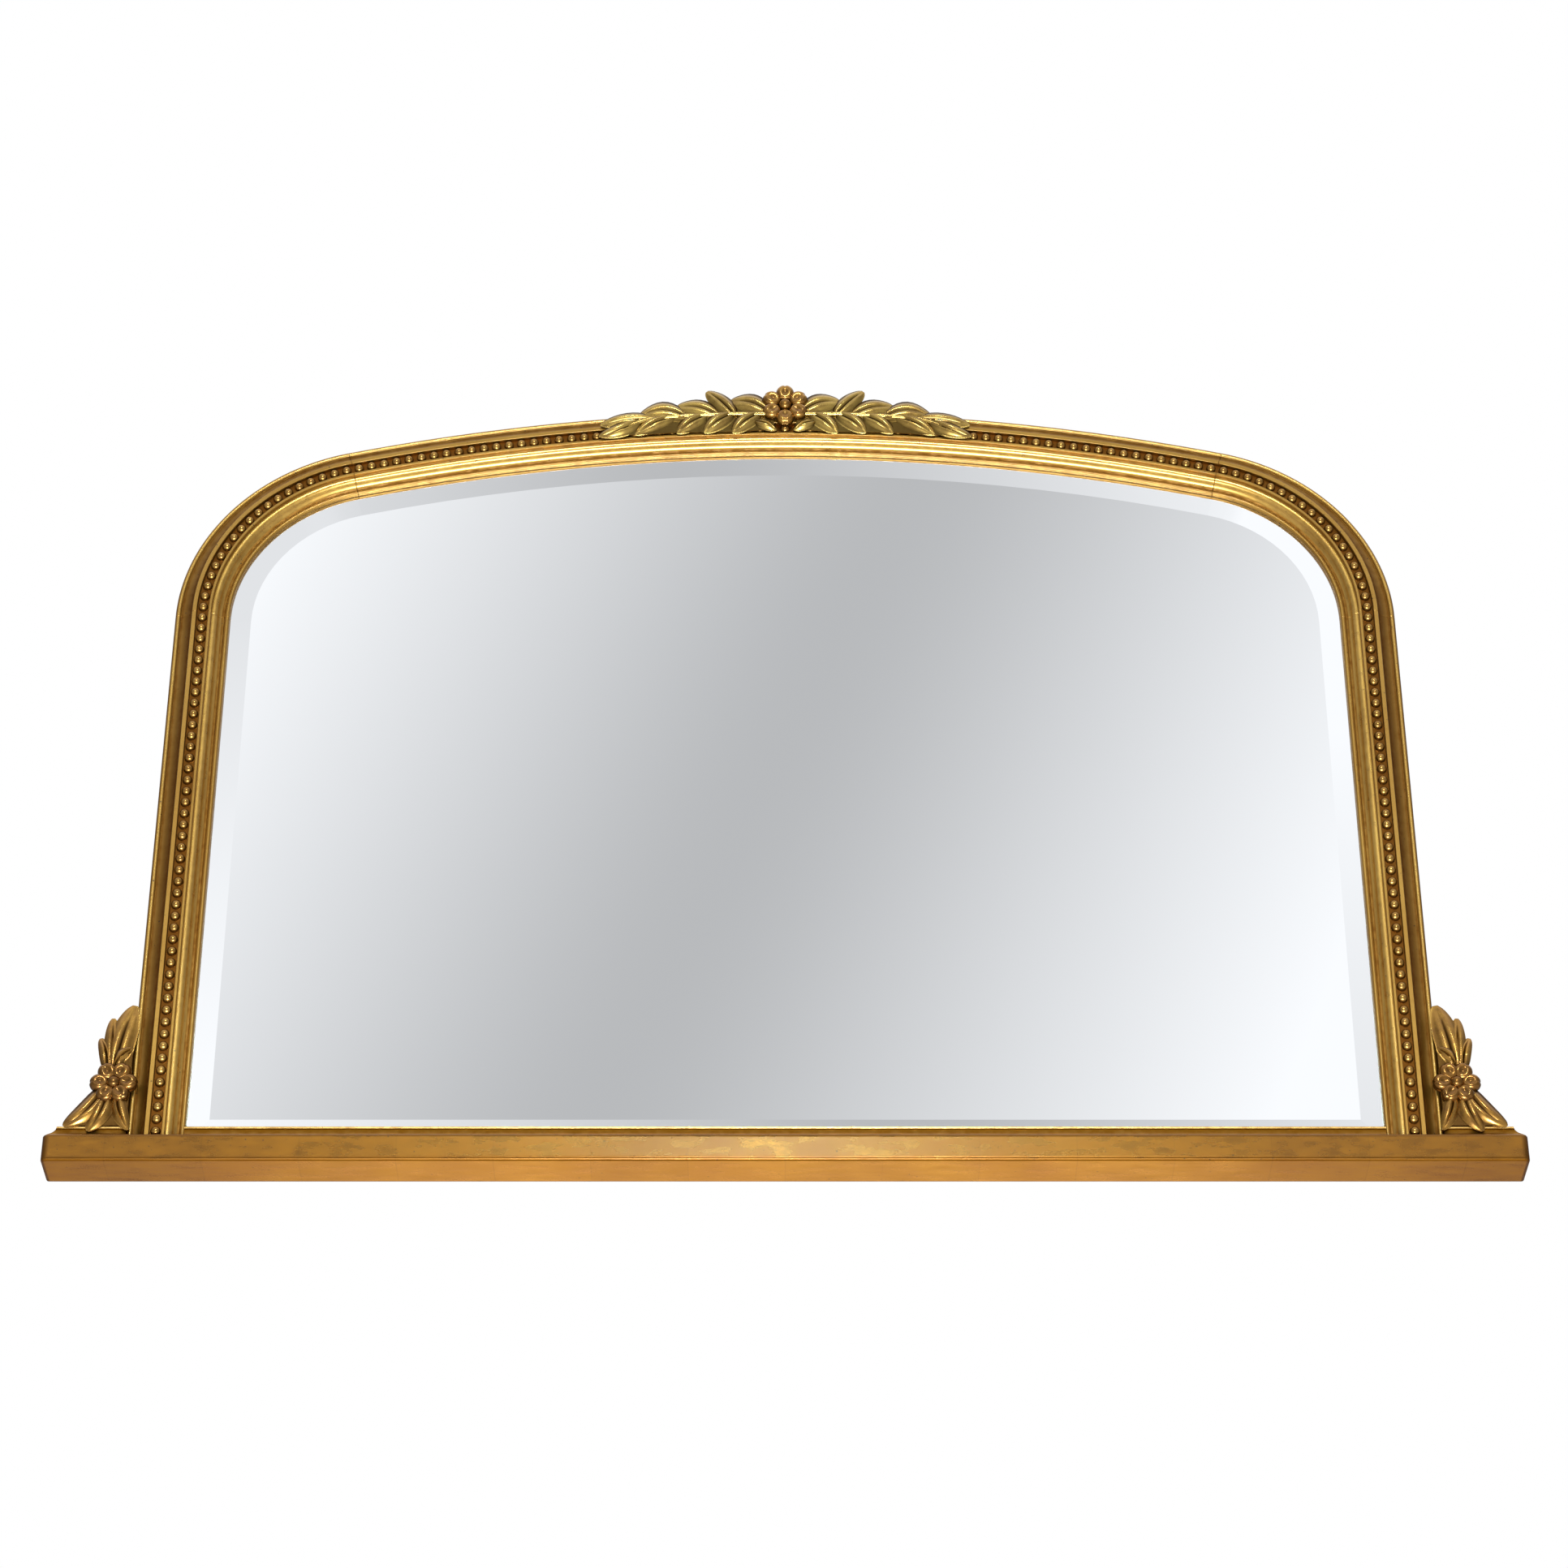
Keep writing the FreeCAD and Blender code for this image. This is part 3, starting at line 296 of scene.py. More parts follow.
# %% [markdown]
# ## Gilding
# Gold leaf is laid in small squares on a red-brown clay called bole. The leaf is thin, so the bole shows
# where it is rubbed and in the recesses that the leaf never reached. Each piece carries a value named
# wear_and_shade on its points: 0 is full leaf and 1 is bare, dirty bole. It holds real wear, and also
# painted shade in recesses, in gaps and on the shaded sides of rounds. Noise breaks up the edge between
# them.

# %% Gilding material
BLOTCH_SCALE, GRAIN_SCALE, GRIT_SCALE, SPECK_SCALE = 11.0, 140.0, 520.0, 170.0
LEAF_SQUARE, LEAF_ROW, LAP_LINE = 0.083, 0.4, 0.0006
SPECK_TINT = (0.045, 0.025, 0.01, 1)
BOLE_FROM, BOLE_TO = 0.12, 0.95


def grey(value):
    return (value, value, value, 1)


def leaf_laps(tree, where, leaf, laps):
    """The leaf with its squares' edges laid over it."""
    squares = add_node(
        tree,
        "ShaderNodeTexBrick",
        {"offset": 0.37, "squash": 1.0},
        Vector=where,
        Color1=grey(0.42),
        Color2=grey(0.58),
        Mortar=grey(0.3),
        Scale=1.0,
        Mortar_Size=LAP_LINE,
        Mortar_Smooth=0.6,
        Brick_Width=LEAF_SQUARE,
        Row_Height=LEAF_ROW,
    )
    overlay = {"data_type": "RGBA", "blend_type": "OVERLAY"}
    return add_node(tree, "ShaderNodeMix", overlay, i0=laps, i6=leaf, i7=squares.outputs[0]).outputs[2]


def gilding(
    name, light, deep, bole, roughness=0.32, laps=0.0, specks=1.0, bumps=0.2, coat=0.3, grain=(1, 1, 1)
):
    """Gold leaf over bole, under lacquer; laps is the strength of the leaf squares' edges."""
    material, tree, shader = new_material(name)
    where = object_place(tree)
    stretched = add_node(tree, "ShaderNodeMapping", None, i0=where, i3=grain).outputs[0]
    broad = noise(tree, where, BLOTCH_SCALE, 3.0)
    fine = noise(tree, stretched, GRAIN_SCALE, 4.0)
    grit = noise(tree, where, GRIT_SCALE, 2.0)
    leaf = mixed(tree, spread(tree, weighted(tree, broad, fine, 0.6), 0.36, 0.64, 0.0, 1.0), deep, light)
    if laps > 0:
        leaf = leaf_laps(tree, where, leaf, laps)
    # The attribute holds real wear and painted shade alike; both turn the leaf into bole here.
    wear_and_shade = add_node(tree, "ShaderNodeAttribute", {"attribute_name": "wear_and_shade"}).outputs["Fac"]
    ragged = maths(tree, "ADD", wear_and_shade, maths(tree, "MULTIPLY", maths(tree, "SUBTRACT", fine, 0.5), 0.4))
    bole_share = spread(tree, ragged, BOLE_FROM, BOLE_TO, 0.0, 1.0)
    dots = add_node(tree, "ShaderNodeTexVoronoi", None, Vector=where, Scale=SPECK_SCALE).outputs["Distance"]
    near = spread(tree, dots, 0.10, 0.17, 1.0, 0.0)
    crowd = spread(tree, grit, 0.56, 0.62, 0.0, specks)
    surface = mixed(tree, maths(tree, "MULTIPLY", near, crowd), mixed(tree, bole_share, leaf, bole), SPECK_TINT)
    tree.links.new(surface, shader.inputs["Base Color"])
    shader.inputs["Metallic"].default_value = 0.9
    polish = spread(tree, fine, 0.3, 0.7, roughness - 0.06, roughness + 0.08)
    rough = maths(tree, "ADD", polish, maths(tree, "MULTIPLY", bole_share, 0.14))
    tree.links.new(rough, shader.inputs["Roughness"])
    tree.links.new(spread(tree, bole_share, 0.0, 0.9, coat, 0.0), shader.inputs["Coat Weight"])
    shader.inputs["Coat Roughness"].default_value = 0.2
    roughen(tree, shader, bumps, 0.0006, weighted(tree, fine, grit, 0.7))
    return material


print("recipe for gilding")

# %% [markdown]
# ## Eight tones of gold
# Each part of the frame has its own tone in the photograph. The base is deep and warm, its cap and the
# crest are pale, and the flowers in the corners are worn almost to the bole. The underside of the base
# takes a lighter, more orange copy of the base's gilding: painted light from below.

# %% Gildings
BOLE = colour(98, 58, 9)
BASE_LIGHT, BASE_DEEP = colour(125, 81, 7), colour(114, 72, 4)
UNDER_LIGHT, UNDER_DEEP = colour(150, 98, 14), colour(130, 78, 4)
CARVED = {"roughness": 0.24, "specks": 0.3, "bumps": 0.03}
LAID_BASE = {"roughness": 0.28, "laps": 0.22, "bumps": 0.05, "coat": 0.4, "grain": (0.4, 1, 1)}
LAID_UNDER = {"roughness": 0.3, "laps": 0.3, "coat": 0.0, "grain": (0.2, 1, 1)}
WORN_BLOOM = {"roughness": 0.2, "specks": 0.3, "bumps": 0.04, "coat": 0.35}

gilt_moulding = gilding("gilt_moulding", colour(198, 157, 70), colour(174, 131, 47), BOLE, coat=1.0)
gilt_base = gilding("gilt_base", BASE_LIGHT, BASE_DEEP, BOLE, **LAID_BASE)
# A lighter, more orange copy of the base gilding for the underside: painted light from below.
gilt_under_painted_light = gilding("gilt_under_painted_light", UNDER_LIGHT, UNDER_DEEP, BOLE, **LAID_UNDER)
gilt_cap = gilding(
    "gilt_cap", colour(222, 182, 106), colour(196, 152, 76), BASE_LIGHT, roughness=0.24, specks=0.3
)
gilt_beads = gilding(
    "gilt_beads", colour(176, 136, 68), colour(140, 100, 38), BOLE, roughness=0.22, specks=0.3, bumps=0.08
)
gilt_ornament = gilding(
    "gilt_ornament", colour(182, 136, 54), colour(128, 86, 24), colour(58, 34, 8), coat=0.6, **CARVED
)
gilt_crest = gilding(
    "gilt_crest", colour(190, 160, 78), colour(136, 104, 38), colour(60, 40, 11), coat=0.7, **CARVED
)
gilt_bloom = gilding("gilt_bloom", colour(150, 104, 40), colour(94, 60, 18), colour(46, 25, 6), **WORN_BLOOM)
print("eight gildings")

# %% [markdown]
# ## Other finishes
# The glass is silvered, so it is a plain mirror. The back of the frame is bare wood, washed with ochre,
# and the board behind the glass is hardboard with a fine, felted face.

# %% Silvered glass
silvered, tree, shader = new_material("silvered_glass")
haze = noise(tree, object_place(tree), 2.5, 2.0)
silver = mixed(tree, haze, (0.932, 0.940, 0.947, 1), (0.946, 0.950, 0.954, 1))
tree.links.new(silver, shader.inputs["Base Color"])
shader.inputs["Metallic"].default_value = 1.0
shader.inputs["Roughness"].default_value = 0.0
print("silvered glass")


# %% Bare wood
def bare_wood(name, light, dark, along):
    """Wood with its grain along one axis."""
    material, tree, shader = new_material(name)
    where = object_place(tree)
    squeeze = tuple(0.06 if axis == along else 1.0 for axis in "XYZ")
    run = add_node(tree, "ShaderNodeMapping", None, i0=where, i3=squeeze).outputs[0]
    streaks = noise(tree, run, 190.0, 5.0)
    blotch = noise(tree, where, 9.0, 2.0)
    shade = spread(tree, weighted(tree, streaks, blotch, 0.65), 0.38, 0.62, 0.0, 1.0)
    tree.links.new(mixed(tree, shade, dark, light), shader.inputs["Base Color"])
    tree.links.new(spread(tree, streaks, 0.3, 0.7, 0.62, 0.8), shader.inputs["Roughness"])
    roughen(tree, shader, 0.3, 0.0005, streaks)
    return material


OCHRE_LIGHT, OCHRE_DARK = colour(196, 158, 96), colour(150, 108, 56)
back_wood_up = bare_wood("back_wood_upright", OCHRE_LIGHT, OCHRE_DARK, "Z")
back_wood_across = bare_wood("back_wood_level", OCHRE_LIGHT, OCHRE_DARK, "X")
beech = bare_wood("beech", colour(214, 182, 138), colour(186, 148, 104), "Z")
cork = bare_wood("cork", colour(176, 132, 88), colour(120, 82, 48), "Y")
print("three woods and cork")


# %% Hardboard and plated steel
def hardboard():
    material, tree, shader = new_material("hardboard")
    where = object_place(tree)
    felt = noise(tree, where, 620.0, 4.0)
    cloud = noise(tree, where, 5.0, 4.0)
    shade = spread(tree, weighted(tree, felt, cloud, 0.72), 0.38, 0.62, 0.0, 1.0)
    tree.links.new(mixed(tree, shade, colour(96, 66, 42), colour(138, 100, 66)), shader.inputs["Base Color"])
    tree.links.new(spread(tree, felt, 0.3, 0.7, 0.7, 0.86), shader.inputs["Roughness"])
    roughen(tree, shader, 0.35, 0.0004, felt)
    return material


def plated_steel(name, tint, roughness):
    material, tree, shader = new_material(name)
    smear = noise(tree, object_place(tree), 240.0, 4.0)
    dull = tuple(channel * 0.6 for channel in tint[:3]) + (1.0,)
    shade = spread(tree, smear, 0.35, 0.7, 0.0, 1.0)
    tree.links.new(mixed(tree, shade, tint, dull), shader.inputs["Base Color"])
    shader.inputs["Metallic"].default_value = 1.0
    tree.links.new(spread(tree, smear, 0.3, 0.7, roughness, roughness + 0.16), shader.inputs["Roughness"])
    roughen(tree, shader, 0.12, 0.0002, smear)
    return material


board_face = hardboard()
nickel = plated_steel("nickel_plate", (0.66, 0.63, 0.58, 1), 0.24)
zinc = plated_steel("zinc_plate", (0.60, 0.60, 0.58, 1), 0.34)
print("hardboard, nickel and zinc")

# %% Solids that keep their shape
FINISHES = {
    "mirror_glass": silvered,
    "back_board": board_face,
    "joint_dowels": beech,
    "glass_setting_pads": cork,
    "hanger_strap_left": nickel,
    "hanger_strap_right": nickel,
    "hanger_ring_left": nickel,
    "hanger_ring_right": nickel,
}
for name, finish in FINISHES.items():
    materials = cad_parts[name].data.materials
    materials.clear()
    materials.append(finish)
print(len(FINISHES), "solids keep their shape and get a finish")

# %% [markdown]
# ## Putting a piece in the scene
# Each new piece is finished the same way: doubles merged, normals outwards, edges above an angle kept
# sharp. It then rides on the frame's body, and the solid it stands for is hidden.

# %% Starting and finishing a piece
MERGE_WITHIN = 0.02 * MM


def gilded_start():
    """An empty bmesh and its layer for the wear and painted shade."""
    bm = bmesh.new()
    return bm, bm.verts.layers.float.new("wear_and_shade")


def new_verts(result):
    """The points among the things that an extrusion made."""
    return [item for item in result["geom"] if isinstance(item, bmesh.types.BMVert)]


def close_holes(bm):
    """Fill every open rim with one face."""
    bmesh.ops.holes_fill(bm, edges=[edge for edge in bm.edges if edge.is_boundary], sides=0)


def finish_piece(bm, name, stands_for, materials, sharp=40, bevel=0.0):
    """Turn a bmesh into a piece of the frame that stands for a solid."""
    bmesh.ops.remove_doubles(bm, verts=bm.verts, dist=MERGE_WITHIN)
    bmesh.ops.recalc_face_normals(bm, faces=bm.faces)
    mesh = bpy.data.meshes.new(name)
    bm.to_mesh(mesh)
    bm.free()
    mesh.shade_smooth()
    mesh.set_sharp_from_angle(angle=math.radians(sharp))
    for material in materials:
        mesh.materials.append(material)
    piece = bpy.data.objects.new(name, mesh)
    scene.collection.objects.link(piece)
    if bevel > 0:
        softened = piece.modifiers.new("softened_edges", "BEVEL")
        softened.width = bevel
        softened.segments = 2
        softened.limit_method = "ANGLE"
        softened.angle_limit = math.radians(sharp)
    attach(piece, "frame")
    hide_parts(stands_for)


print("helpers for pieces")

# %% [markdown]
# ## Moulding
# One section makes all five lengths of the moulding. It is drawn once, as steps from the outer edge
# inwards, with each round and hollow as an arc. The stiles are drawn out straight and the shoulders and
# the head are spun about the centres of the arch.

# %% Sizes of the section, in millimetres
BACK = 6.5
ASTRAGAL, COVE, OUTER_FILLET, CHANNEL, INNER_FILLET = 5.0, 10.9, 4.0, 11.0, 2.5
QUIRK, STEP_WIDTH, GROOVE, LIP = 0.6, 1.2, 2.4, 4.6
MOULDING_WIDTH, REBATE, BOARD_REBATE = 50.0, 41.0, 28.0
ASTRAGAL_LEVEL, BAND, CHANNEL_FLOOR, STEP = 24.5, 35.0, 30.5, 30.8
GROOVE_LEVEL, REBATE_LEVEL, LEDGE = 23.41, 20.91, 18.6
OGEE_TURN_SHARE, OGEE_DROP_SHARE = 0.51, 0.32
cove_start = ASTRAGAL + QUIRK
cove_end = cove_start + COVE
channel_start = cove_end + OUTER_FILLET
channel_end = channel_start + CHANNEL
band_end = channel_end + INNER_FILLET
ogee_start = band_end + STEP_WIDTH
groove_end = MOULDING_WIDTH - LIP
groove_start = groove_end - GROOVE
ogee_turn = ogee_start + OGEE_TURN_SHARE * (groove_start - ogee_start)
ogee_level = STEP - OGEE_DROP_SHARE * (STEP - GROOVE_LEVEL)
print("ogee from", round(ogee_start, 2), "to", round(groove_start, 2), "mm")


# %% Section of the moulding
# The astragal is painted darker towards its outer side as shade, and the cove is painted darker as shade in
# the hollow, over bole.
SIDE_WEAR, FILLET_WEAR, LIP_WEAR, HIDDEN_WEAR = 0.9, 0.5, 0.5, 0.6
ROUND_SHADE = (0.85, 0.55, 0.25, 0.2, 0.3)
COVE_WEAR_AND_SHADE = (0.72, 0.7, 0.74, 0.8, 0.85, 0.9, 0.95)
ROUND_BOW, COVE_BOW, OGEE_OUT_BOW, OGEE_IN_BOW, LIP_BOW = 0.52, 0.76, 0.97, 1.11, 0.53


def bow(start, end, share, side, steps):
    """Points after start on an arc to end; its radius is a share of the chord, side says which way."""
    chord = Vector(end) - Vector(start)
    radius = chord.length * share
    across = Vector((-chord.y, chord.x)).normalized() * side
    centre = (Vector(start) + Vector(end)) / 2 - across * math.sqrt(radius**2 - (chord.length / 2) ** 2)
    spoke = Vector(start) - centre
    full = -2 * side * math.asin(0.5 / share)
    points = []
    for i in range(1, steps):
        points.append(tuple(centre + Matrix.Rotation(full * i / steps, 2) @ spoke))
    return points


def section_points():
    """The section as (inset, level, wear_and_shade), in metres."""
    # The quirk, cove, channel, step line and groove get high values: painted shade in these recesses, over
    # the bole that shows there.
    outline = [((0, level), SIDE_WEAR) for level in (BACK, ASTRAGAL_LEVEL - 2, ASTRAGAL_LEVEL)]
    outline += zip(bow((0, ASTRAGAL_LEVEL), (ASTRAGAL, ASTRAGAL_LEVEL), ROUND_BOW, 1, 6), ROUND_SHADE)
    outline += [((ASTRAGAL, ASTRAGAL_LEVEL), 0.7), ((cove_start, ASTRAGAL_LEVEL), 0.9)]
    outline += zip(bow((cove_start, ASTRAGAL_LEVEL), (cove_end, BAND - 1), COVE_BOW, -1, 8), COVE_WEAR_AND_SHADE)
    outline += [((cove_end, BAND - 1), 0.8), ((cove_end, BAND), FILLET_WEAR)]
    outline += [((channel_start, BAND), FILLET_WEAR), ((channel_start, CHANNEL_FLOOR), 1.0)]
    outline += [((channel_end, CHANNEL_FLOOR), 1.0), ((channel_end, BAND), FILLET_WEAR)]
    outline += [((band_end, BAND), FILLET_WEAR), ((band_end, STEP), 0.7), ((ogee_start, STEP), 0.45)]
    ogee = bow((ogee_start, STEP), (ogee_turn, ogee_level), OGEE_OUT_BOW, 1, 4)
    ogee += [(ogee_turn, ogee_level)]
    ogee += bow((ogee_turn, ogee_level), (groove_start, GROOVE_LEVEL), OGEE_IN_BOW, -1, 4)
    outline += [(point, 0.0) for point in ogee]
    outline += [((groove_start, GROOVE_LEVEL), 0.85), ((groove_end, GROOVE_LEVEL), 0.8)]
    lip = bow((groove_end, GROOVE_LEVEL), (MOULDING_WIDTH, GROOVE_LEVEL), LIP_BOW, 1, 6)
    outline += [(point, LIP_WEAR) for point in lip]
    hidden = [(MOULDING_WIDTH, GROOVE_LEVEL), (MOULDING_WIDTH, REBATE_LEVEL), (REBATE, REBATE_LEVEL)]
    hidden += [(REBATE, LEDGE), (BOARD_REBATE, LEDGE), (BOARD_REBATE, BACK)]
    outline += [(point, HIDDEN_WEAR) for point in hidden]
    return [(inset * MM, level * MM, wear_and_shade) for (inset, level), wear_and_shade in outline]


def section_ring(bm, layer, place):
    """The section as a closed ring of edges, set in space by place(inset, level)."""
    ring = []
    for inset, level, wear_and_shade in section_points():
        vert = bm.verts.new(place(inset, level))
        vert[layer] = wear_and_shade
        ring.append(vert)
    return [bm.edges.new((ring[i - 1], ring[i])) for i in range(len(ring))]


print(len(section_points()), "points in the section")

# %% Centres of the arch
stile_low, stile_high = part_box("right_stile")
head_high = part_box("head_rail")[1]
HALF_WIDTH = stile_high.x
SPRINGING = stile_high.z
BASE_TOP = stile_low.z
SHOULDER_RADIUS = 0.196
HEAD_RADIUS = 1.772
shoulder_out = HALF_WIDTH - SHOULDER_RADIUS
right_centre = Vector((shoulder_out, 0, SPRINGING))
left_centre = Vector((-shoulder_out, 0, SPRINGING))
head_centre = Vector((0, 0, head_high.z - HEAD_RADIUS))
quarter = math.radians(90)
half_head = math.atan2(shoulder_out, SPRINGING - head_centre.z)
shoulder_sweep = quarter - half_head
print("springing", round(SPRINGING, 4), "half angle of the head", round(math.degrees(half_head), 2))


# %% Stiles, shoulders and head
SHOULDER_STEPS, HEAD_STEPS = 40, 56
ARRIS = 0.4 * MM
FACING = 0.7


def finish_moulding(bm, name, back_finish):
    """Cap the two open ends, give the faces at the back bare wood and hand the length over."""
    close_holes(bm)
    bmesh.ops.recalc_face_normals(bm, faces=bm.faces)
    for face in bm.faces:
        if face.normal.y > FACING:
            face.material_index = 1
    finish_piece(bm, name + "_moulding", name, [gilt_moulding, back_finish], bevel=ARRIS)


def stile(side, name):
    bm, layer = gilded_start()
    edges = section_ring(bm, layer, lambda inset, level: (side * (HALF_WIDTH - inset), -level, BASE_TOP))
    raised = new_verts(bmesh.ops.extrude_edge_only(bm, edges=edges))
    bmesh.ops.translate(bm, vec=(0, 0, SPRINGING - BASE_TOP), verts=raised)
    finish_moulding(bm, name, back_wood_up)


def bent_length(name, centre, radius, start, sweep, steps):
    """A bent length of the moulding; start and sweep are angles from the vertical, clockwise in front."""
    bm, layer = gilded_start()
    outwards = Vector((math.sin(start), 0, math.cos(start)))

    def place(inset, level):
        return centre + outwards * (radius - inset) + Vector((0, -level, 0))

    edges = section_ring(bm, layer, place)
    geometry = bm.verts[:] + edges
    bmesh.ops.spin(bm, geom=geometry, cent=centre, axis=(0, 1, 0), dvec=(0, 0, 0), angle=sweep, steps=steps)
    finish_moulding(bm, name, back_wood_across)


stile(1, "right_stile")
stile(-1, "left_stile")
bent_length("right_shoulder", right_centre, SHOULDER_RADIUS, half_head, shoulder_sweep, SHOULDER_STEPS)
bent_length("left_shoulder", left_centre, SHOULDER_RADIUS, -quarter, shoulder_sweep, SHOULDER_STEPS)
bent_length("head_rail", head_centre, HEAD_RADIUS, -half_head, 2 * half_head, HEAD_STEPS)
print("five lengths of moulding")

# %% [markdown]
# ## Bead row
# The beads are moulded on a thin strip that lies in the channel. Seen close, each is a ball with a painted
# shadow round its foot and painted shade on top. There are about two hundred, so each has only a few dozen
# faces.

# %% One bead
BEAD_RADIUS = 4.6 * MM
BEAD_PITCH = 12.0 * MM
BEAD_CENTRE = 31.5 * MM
STRIP_FRONT = 31.5 * MM
STRIP_BACK = CHANNEL_FLOOR * MM
STRIP_HALF = 5.2 * MM
# The strip shows only between the beads, darkened as painted shade in the channel, over bole.
STRIP_WEAR_AND_SHADE = 0.95
TOP_SHADE = 0.7
FOOT_SHADOW, SHADOW_FADE, FOOT_CUT = 1.4, 1.3, -0.05
bead_inset = (channel_start + CHANNEL / 2) * MM


def bead(bm, layer, x, z):
    """One ball, with a painted shadow at its foot and painted shade on top."""
    turn = Matrix.Rotation(math.radians(90), 4, "X")
    place = Matrix.Translation((x, -BEAD_CENTRE, z)) @ turn
    made = bmesh.ops.create_uvsphere(bm, u_segments=12, v_segments=8, radius=BEAD_RADIUS, matrix=place)
    foot = []
    for vert in made["verts"]:
        # Painted shadow round the foot fades up the ball, and painted shade grows towards its top.
        rise = (-vert.co.y - STRIP_BACK) / BEAD_RADIUS
        top_shade = TOP_SHADE * max(0.0, (vert.co.z - z) / BEAD_RADIUS)
        vert[layer] = max(0.0, min(1.0, FOOT_SHADOW - SHADOW_FADE * rise + top_shade))
        if rise < FOOT_CUT:
            foot.append(vert)
    bmesh.ops.delete(bm, geom=foot, context="VERTS")


print("bead of", BEAD_RADIUS / MM, "mm, every", BEAD_PITCH / MM, "mm")


# %% Rows of beads
SHOULDER_STRIP_STEPS = 30


def finish_row(bm, name):
    close_holes(bm)
    finish_piece(bm, name + "_row", name, [gilt_beads], sharp=60)


def bent_row(name, centre, radius, start, sweep, steps):
    """Strip and beads round an arc of the arch."""
    bm, layer = gilded_start()
    reach = radius - bead_inset
    outwards = Vector((math.sin(start), 0, math.cos(start)))
    corners = []
    for across, level in ((-1, STRIP_BACK), (-1, STRIP_FRONT), (1, STRIP_FRONT), (1, STRIP_BACK)):
        vert = bm.verts.new(centre + outwards * (reach + across * STRIP_HALF) + Vector((0, -level, 0)))
        vert[layer] = STRIP_WEAR_AND_SHADE
        corners.append(vert)
    geometry = corners + [bm.edges.new((corners[i - 1], corners[i])) for i in range(4)]
    bmesh.ops.spin(bm, geom=geometry, cent=centre, axis=(0, 1, 0), dvec=(0, 0, 0), angle=sweep, steps=steps)
    count = max(2, round(sweep * reach / BEAD_PITCH))
    for i in range(count):
        angle = start + sweep * (i + 0.5) / count
        bead(bm, layer, centre.x + reach * math.sin(angle), centre.z + reach * math.cos(angle))
    finish_row(bm, name)
    return count


def straight_row(name, side):
    """Strip and beads along a stile."""
    bm, layer = gilded_start()
    x = side * (HALF_WIDTH - bead_inset)
    length = SPRINGING - BASE_TOP
    strip = bmesh.ops.create_cube(bm, size=1)["verts"]
    bmesh.ops.scale(bm, vec=(2 * STRIP_HALF, STRIP_FRONT - STRIP_BACK, length), verts=strip)
    middle = Vector((x, -(STRIP_BACK + STRIP_FRONT) / 2, BASE_TOP + length / 2))
    bmesh.ops.translate(bm, vec=middle, verts=strip)
    for vert in strip:
        vert[layer] = STRIP_WEAR_AND_SHADE
    count = max(2, round(length / BEAD_PITCH))
    for i in range(count):
        bead(bm, layer, x, BASE_TOP + length * (i + 0.5) / count)
    finish_row(bm, name)
    return count


total = straight_row("right_stile_beads", 1) + straight_row("left_stile_beads", -1)
shoulder = (shoulder_sweep, SHOULDER_STRIP_STEPS)
total += bent_row("right_shoulder_beads", right_centre, SHOULDER_RADIUS, half_head, *shoulder)
total += bent_row("left_shoulder_beads", left_centre, SHOULDER_RADIUS, -quarter, *shoulder)
total += bent_row("head_beads", head_centre, HEAD_RADIUS, -half_head, 2 * half_head, HEAD_STEPS)
print(total, "beads")

# %% [markdown]
# ## Base plank
# The base is one plank with softened edges. Its front and underside show in the photograph as two gilt
# bands that meet at a rubbed edge, with the laps of the leaf squares across them. The upright corners are
# rounded first and more, and the long edges after them.

# %% Base plank
CORNER_ROUND, EDGE_ROUND = 5.5 * MM, 2.5 * MM
END_WEAR, TOP_WEAR, EDGE_WEAR = 0.95, 0.1, 0.3
EDGE_BAND, END_BAND = 1.2 * MM, 3 * MM
SHARP_RADIANS, SQUARE_ON = 1, 0.999


def round_edges(bm, edges, offset):
    shape = {"offset_type": "OFFSET", "affect": "EDGES", "segments": 4, "profile": 0.5, "material": -1}
    bmesh.ops.bevel(bm, geom=edges, offset=offset, **shape)


def base_plank():
    low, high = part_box("base_rail")
    bm, layer = gilded_start()
    bmesh.ops.create_cube(bm, size=1)
    bmesh.ops.scale(bm, vec=high - low, verts=bm.verts)
    bmesh.ops.translate(bm, vec=(low + high) / 2, verts=bm.verts)
    at_back = [edge for edge in bm.edges if all(vert.co.y > high.y - 1e-5 for vert in edge.verts)]
    in_front = [edge for edge in bm.edges if edge not in at_back]
    upright = [edge for edge in in_front if abs(edge.verts[0].co.z - edge.verts[1].co.z) > MM]
    round_edges(bm, upright, CORNER_ROUND)
    sharp = [edge for edge in bm.edges if edge not in at_back and edge.calc_face_angle() > SHARP_RADIANS]
    round_edges(bm, sharp, EDGE_ROUND)
    for vert in bm.verts:
        at_end = abs(vert.co.x) > high.x - END_BAND
        at_top = vert.co.z > high.z - EDGE_ROUND
        vert[layer] = END_WEAR if at_end else TOP_WEAR if at_top else EDGE_WEAR
    bmesh.ops.recalc_face_normals(bm, faces=bm.faces)
    wide = [face for face in bm.faces if max(abs(part) for part in face.normal) > SQUARE_ON]
    bmesh.ops.inset_individual(bm, faces=wide, thickness=EDGE_BAND, use_even_offset=True)
    for face in wide:
        for vert in face.verts:
            vert[layer] = 0.0
    for face in bm.faces:
        if face.normal.y > FACING:
            face.material_index = 1
        # Faces that point down take the lighter, more orange underside gilding: painted light from below.
        elif face.normal.z < -FACING:
            face.material_index = 2
    finishes = [gilt_base, back_wood_across, gilt_under_painted_light]
    finish_piece(bm, "base_plank", "base_rail", finishes, sharp=35)


base_plank()
print("base plank")

# %% [markdown]
# ## Cap
# On the plank lies a thin cap with a bright lip above a hollow. Beyond each stile the hollow also turns
# round the end, so the cap seems to flow into the plank. Each length is made as a stack: one flat face is
# drawn up level by level, and each level is given its own reach.

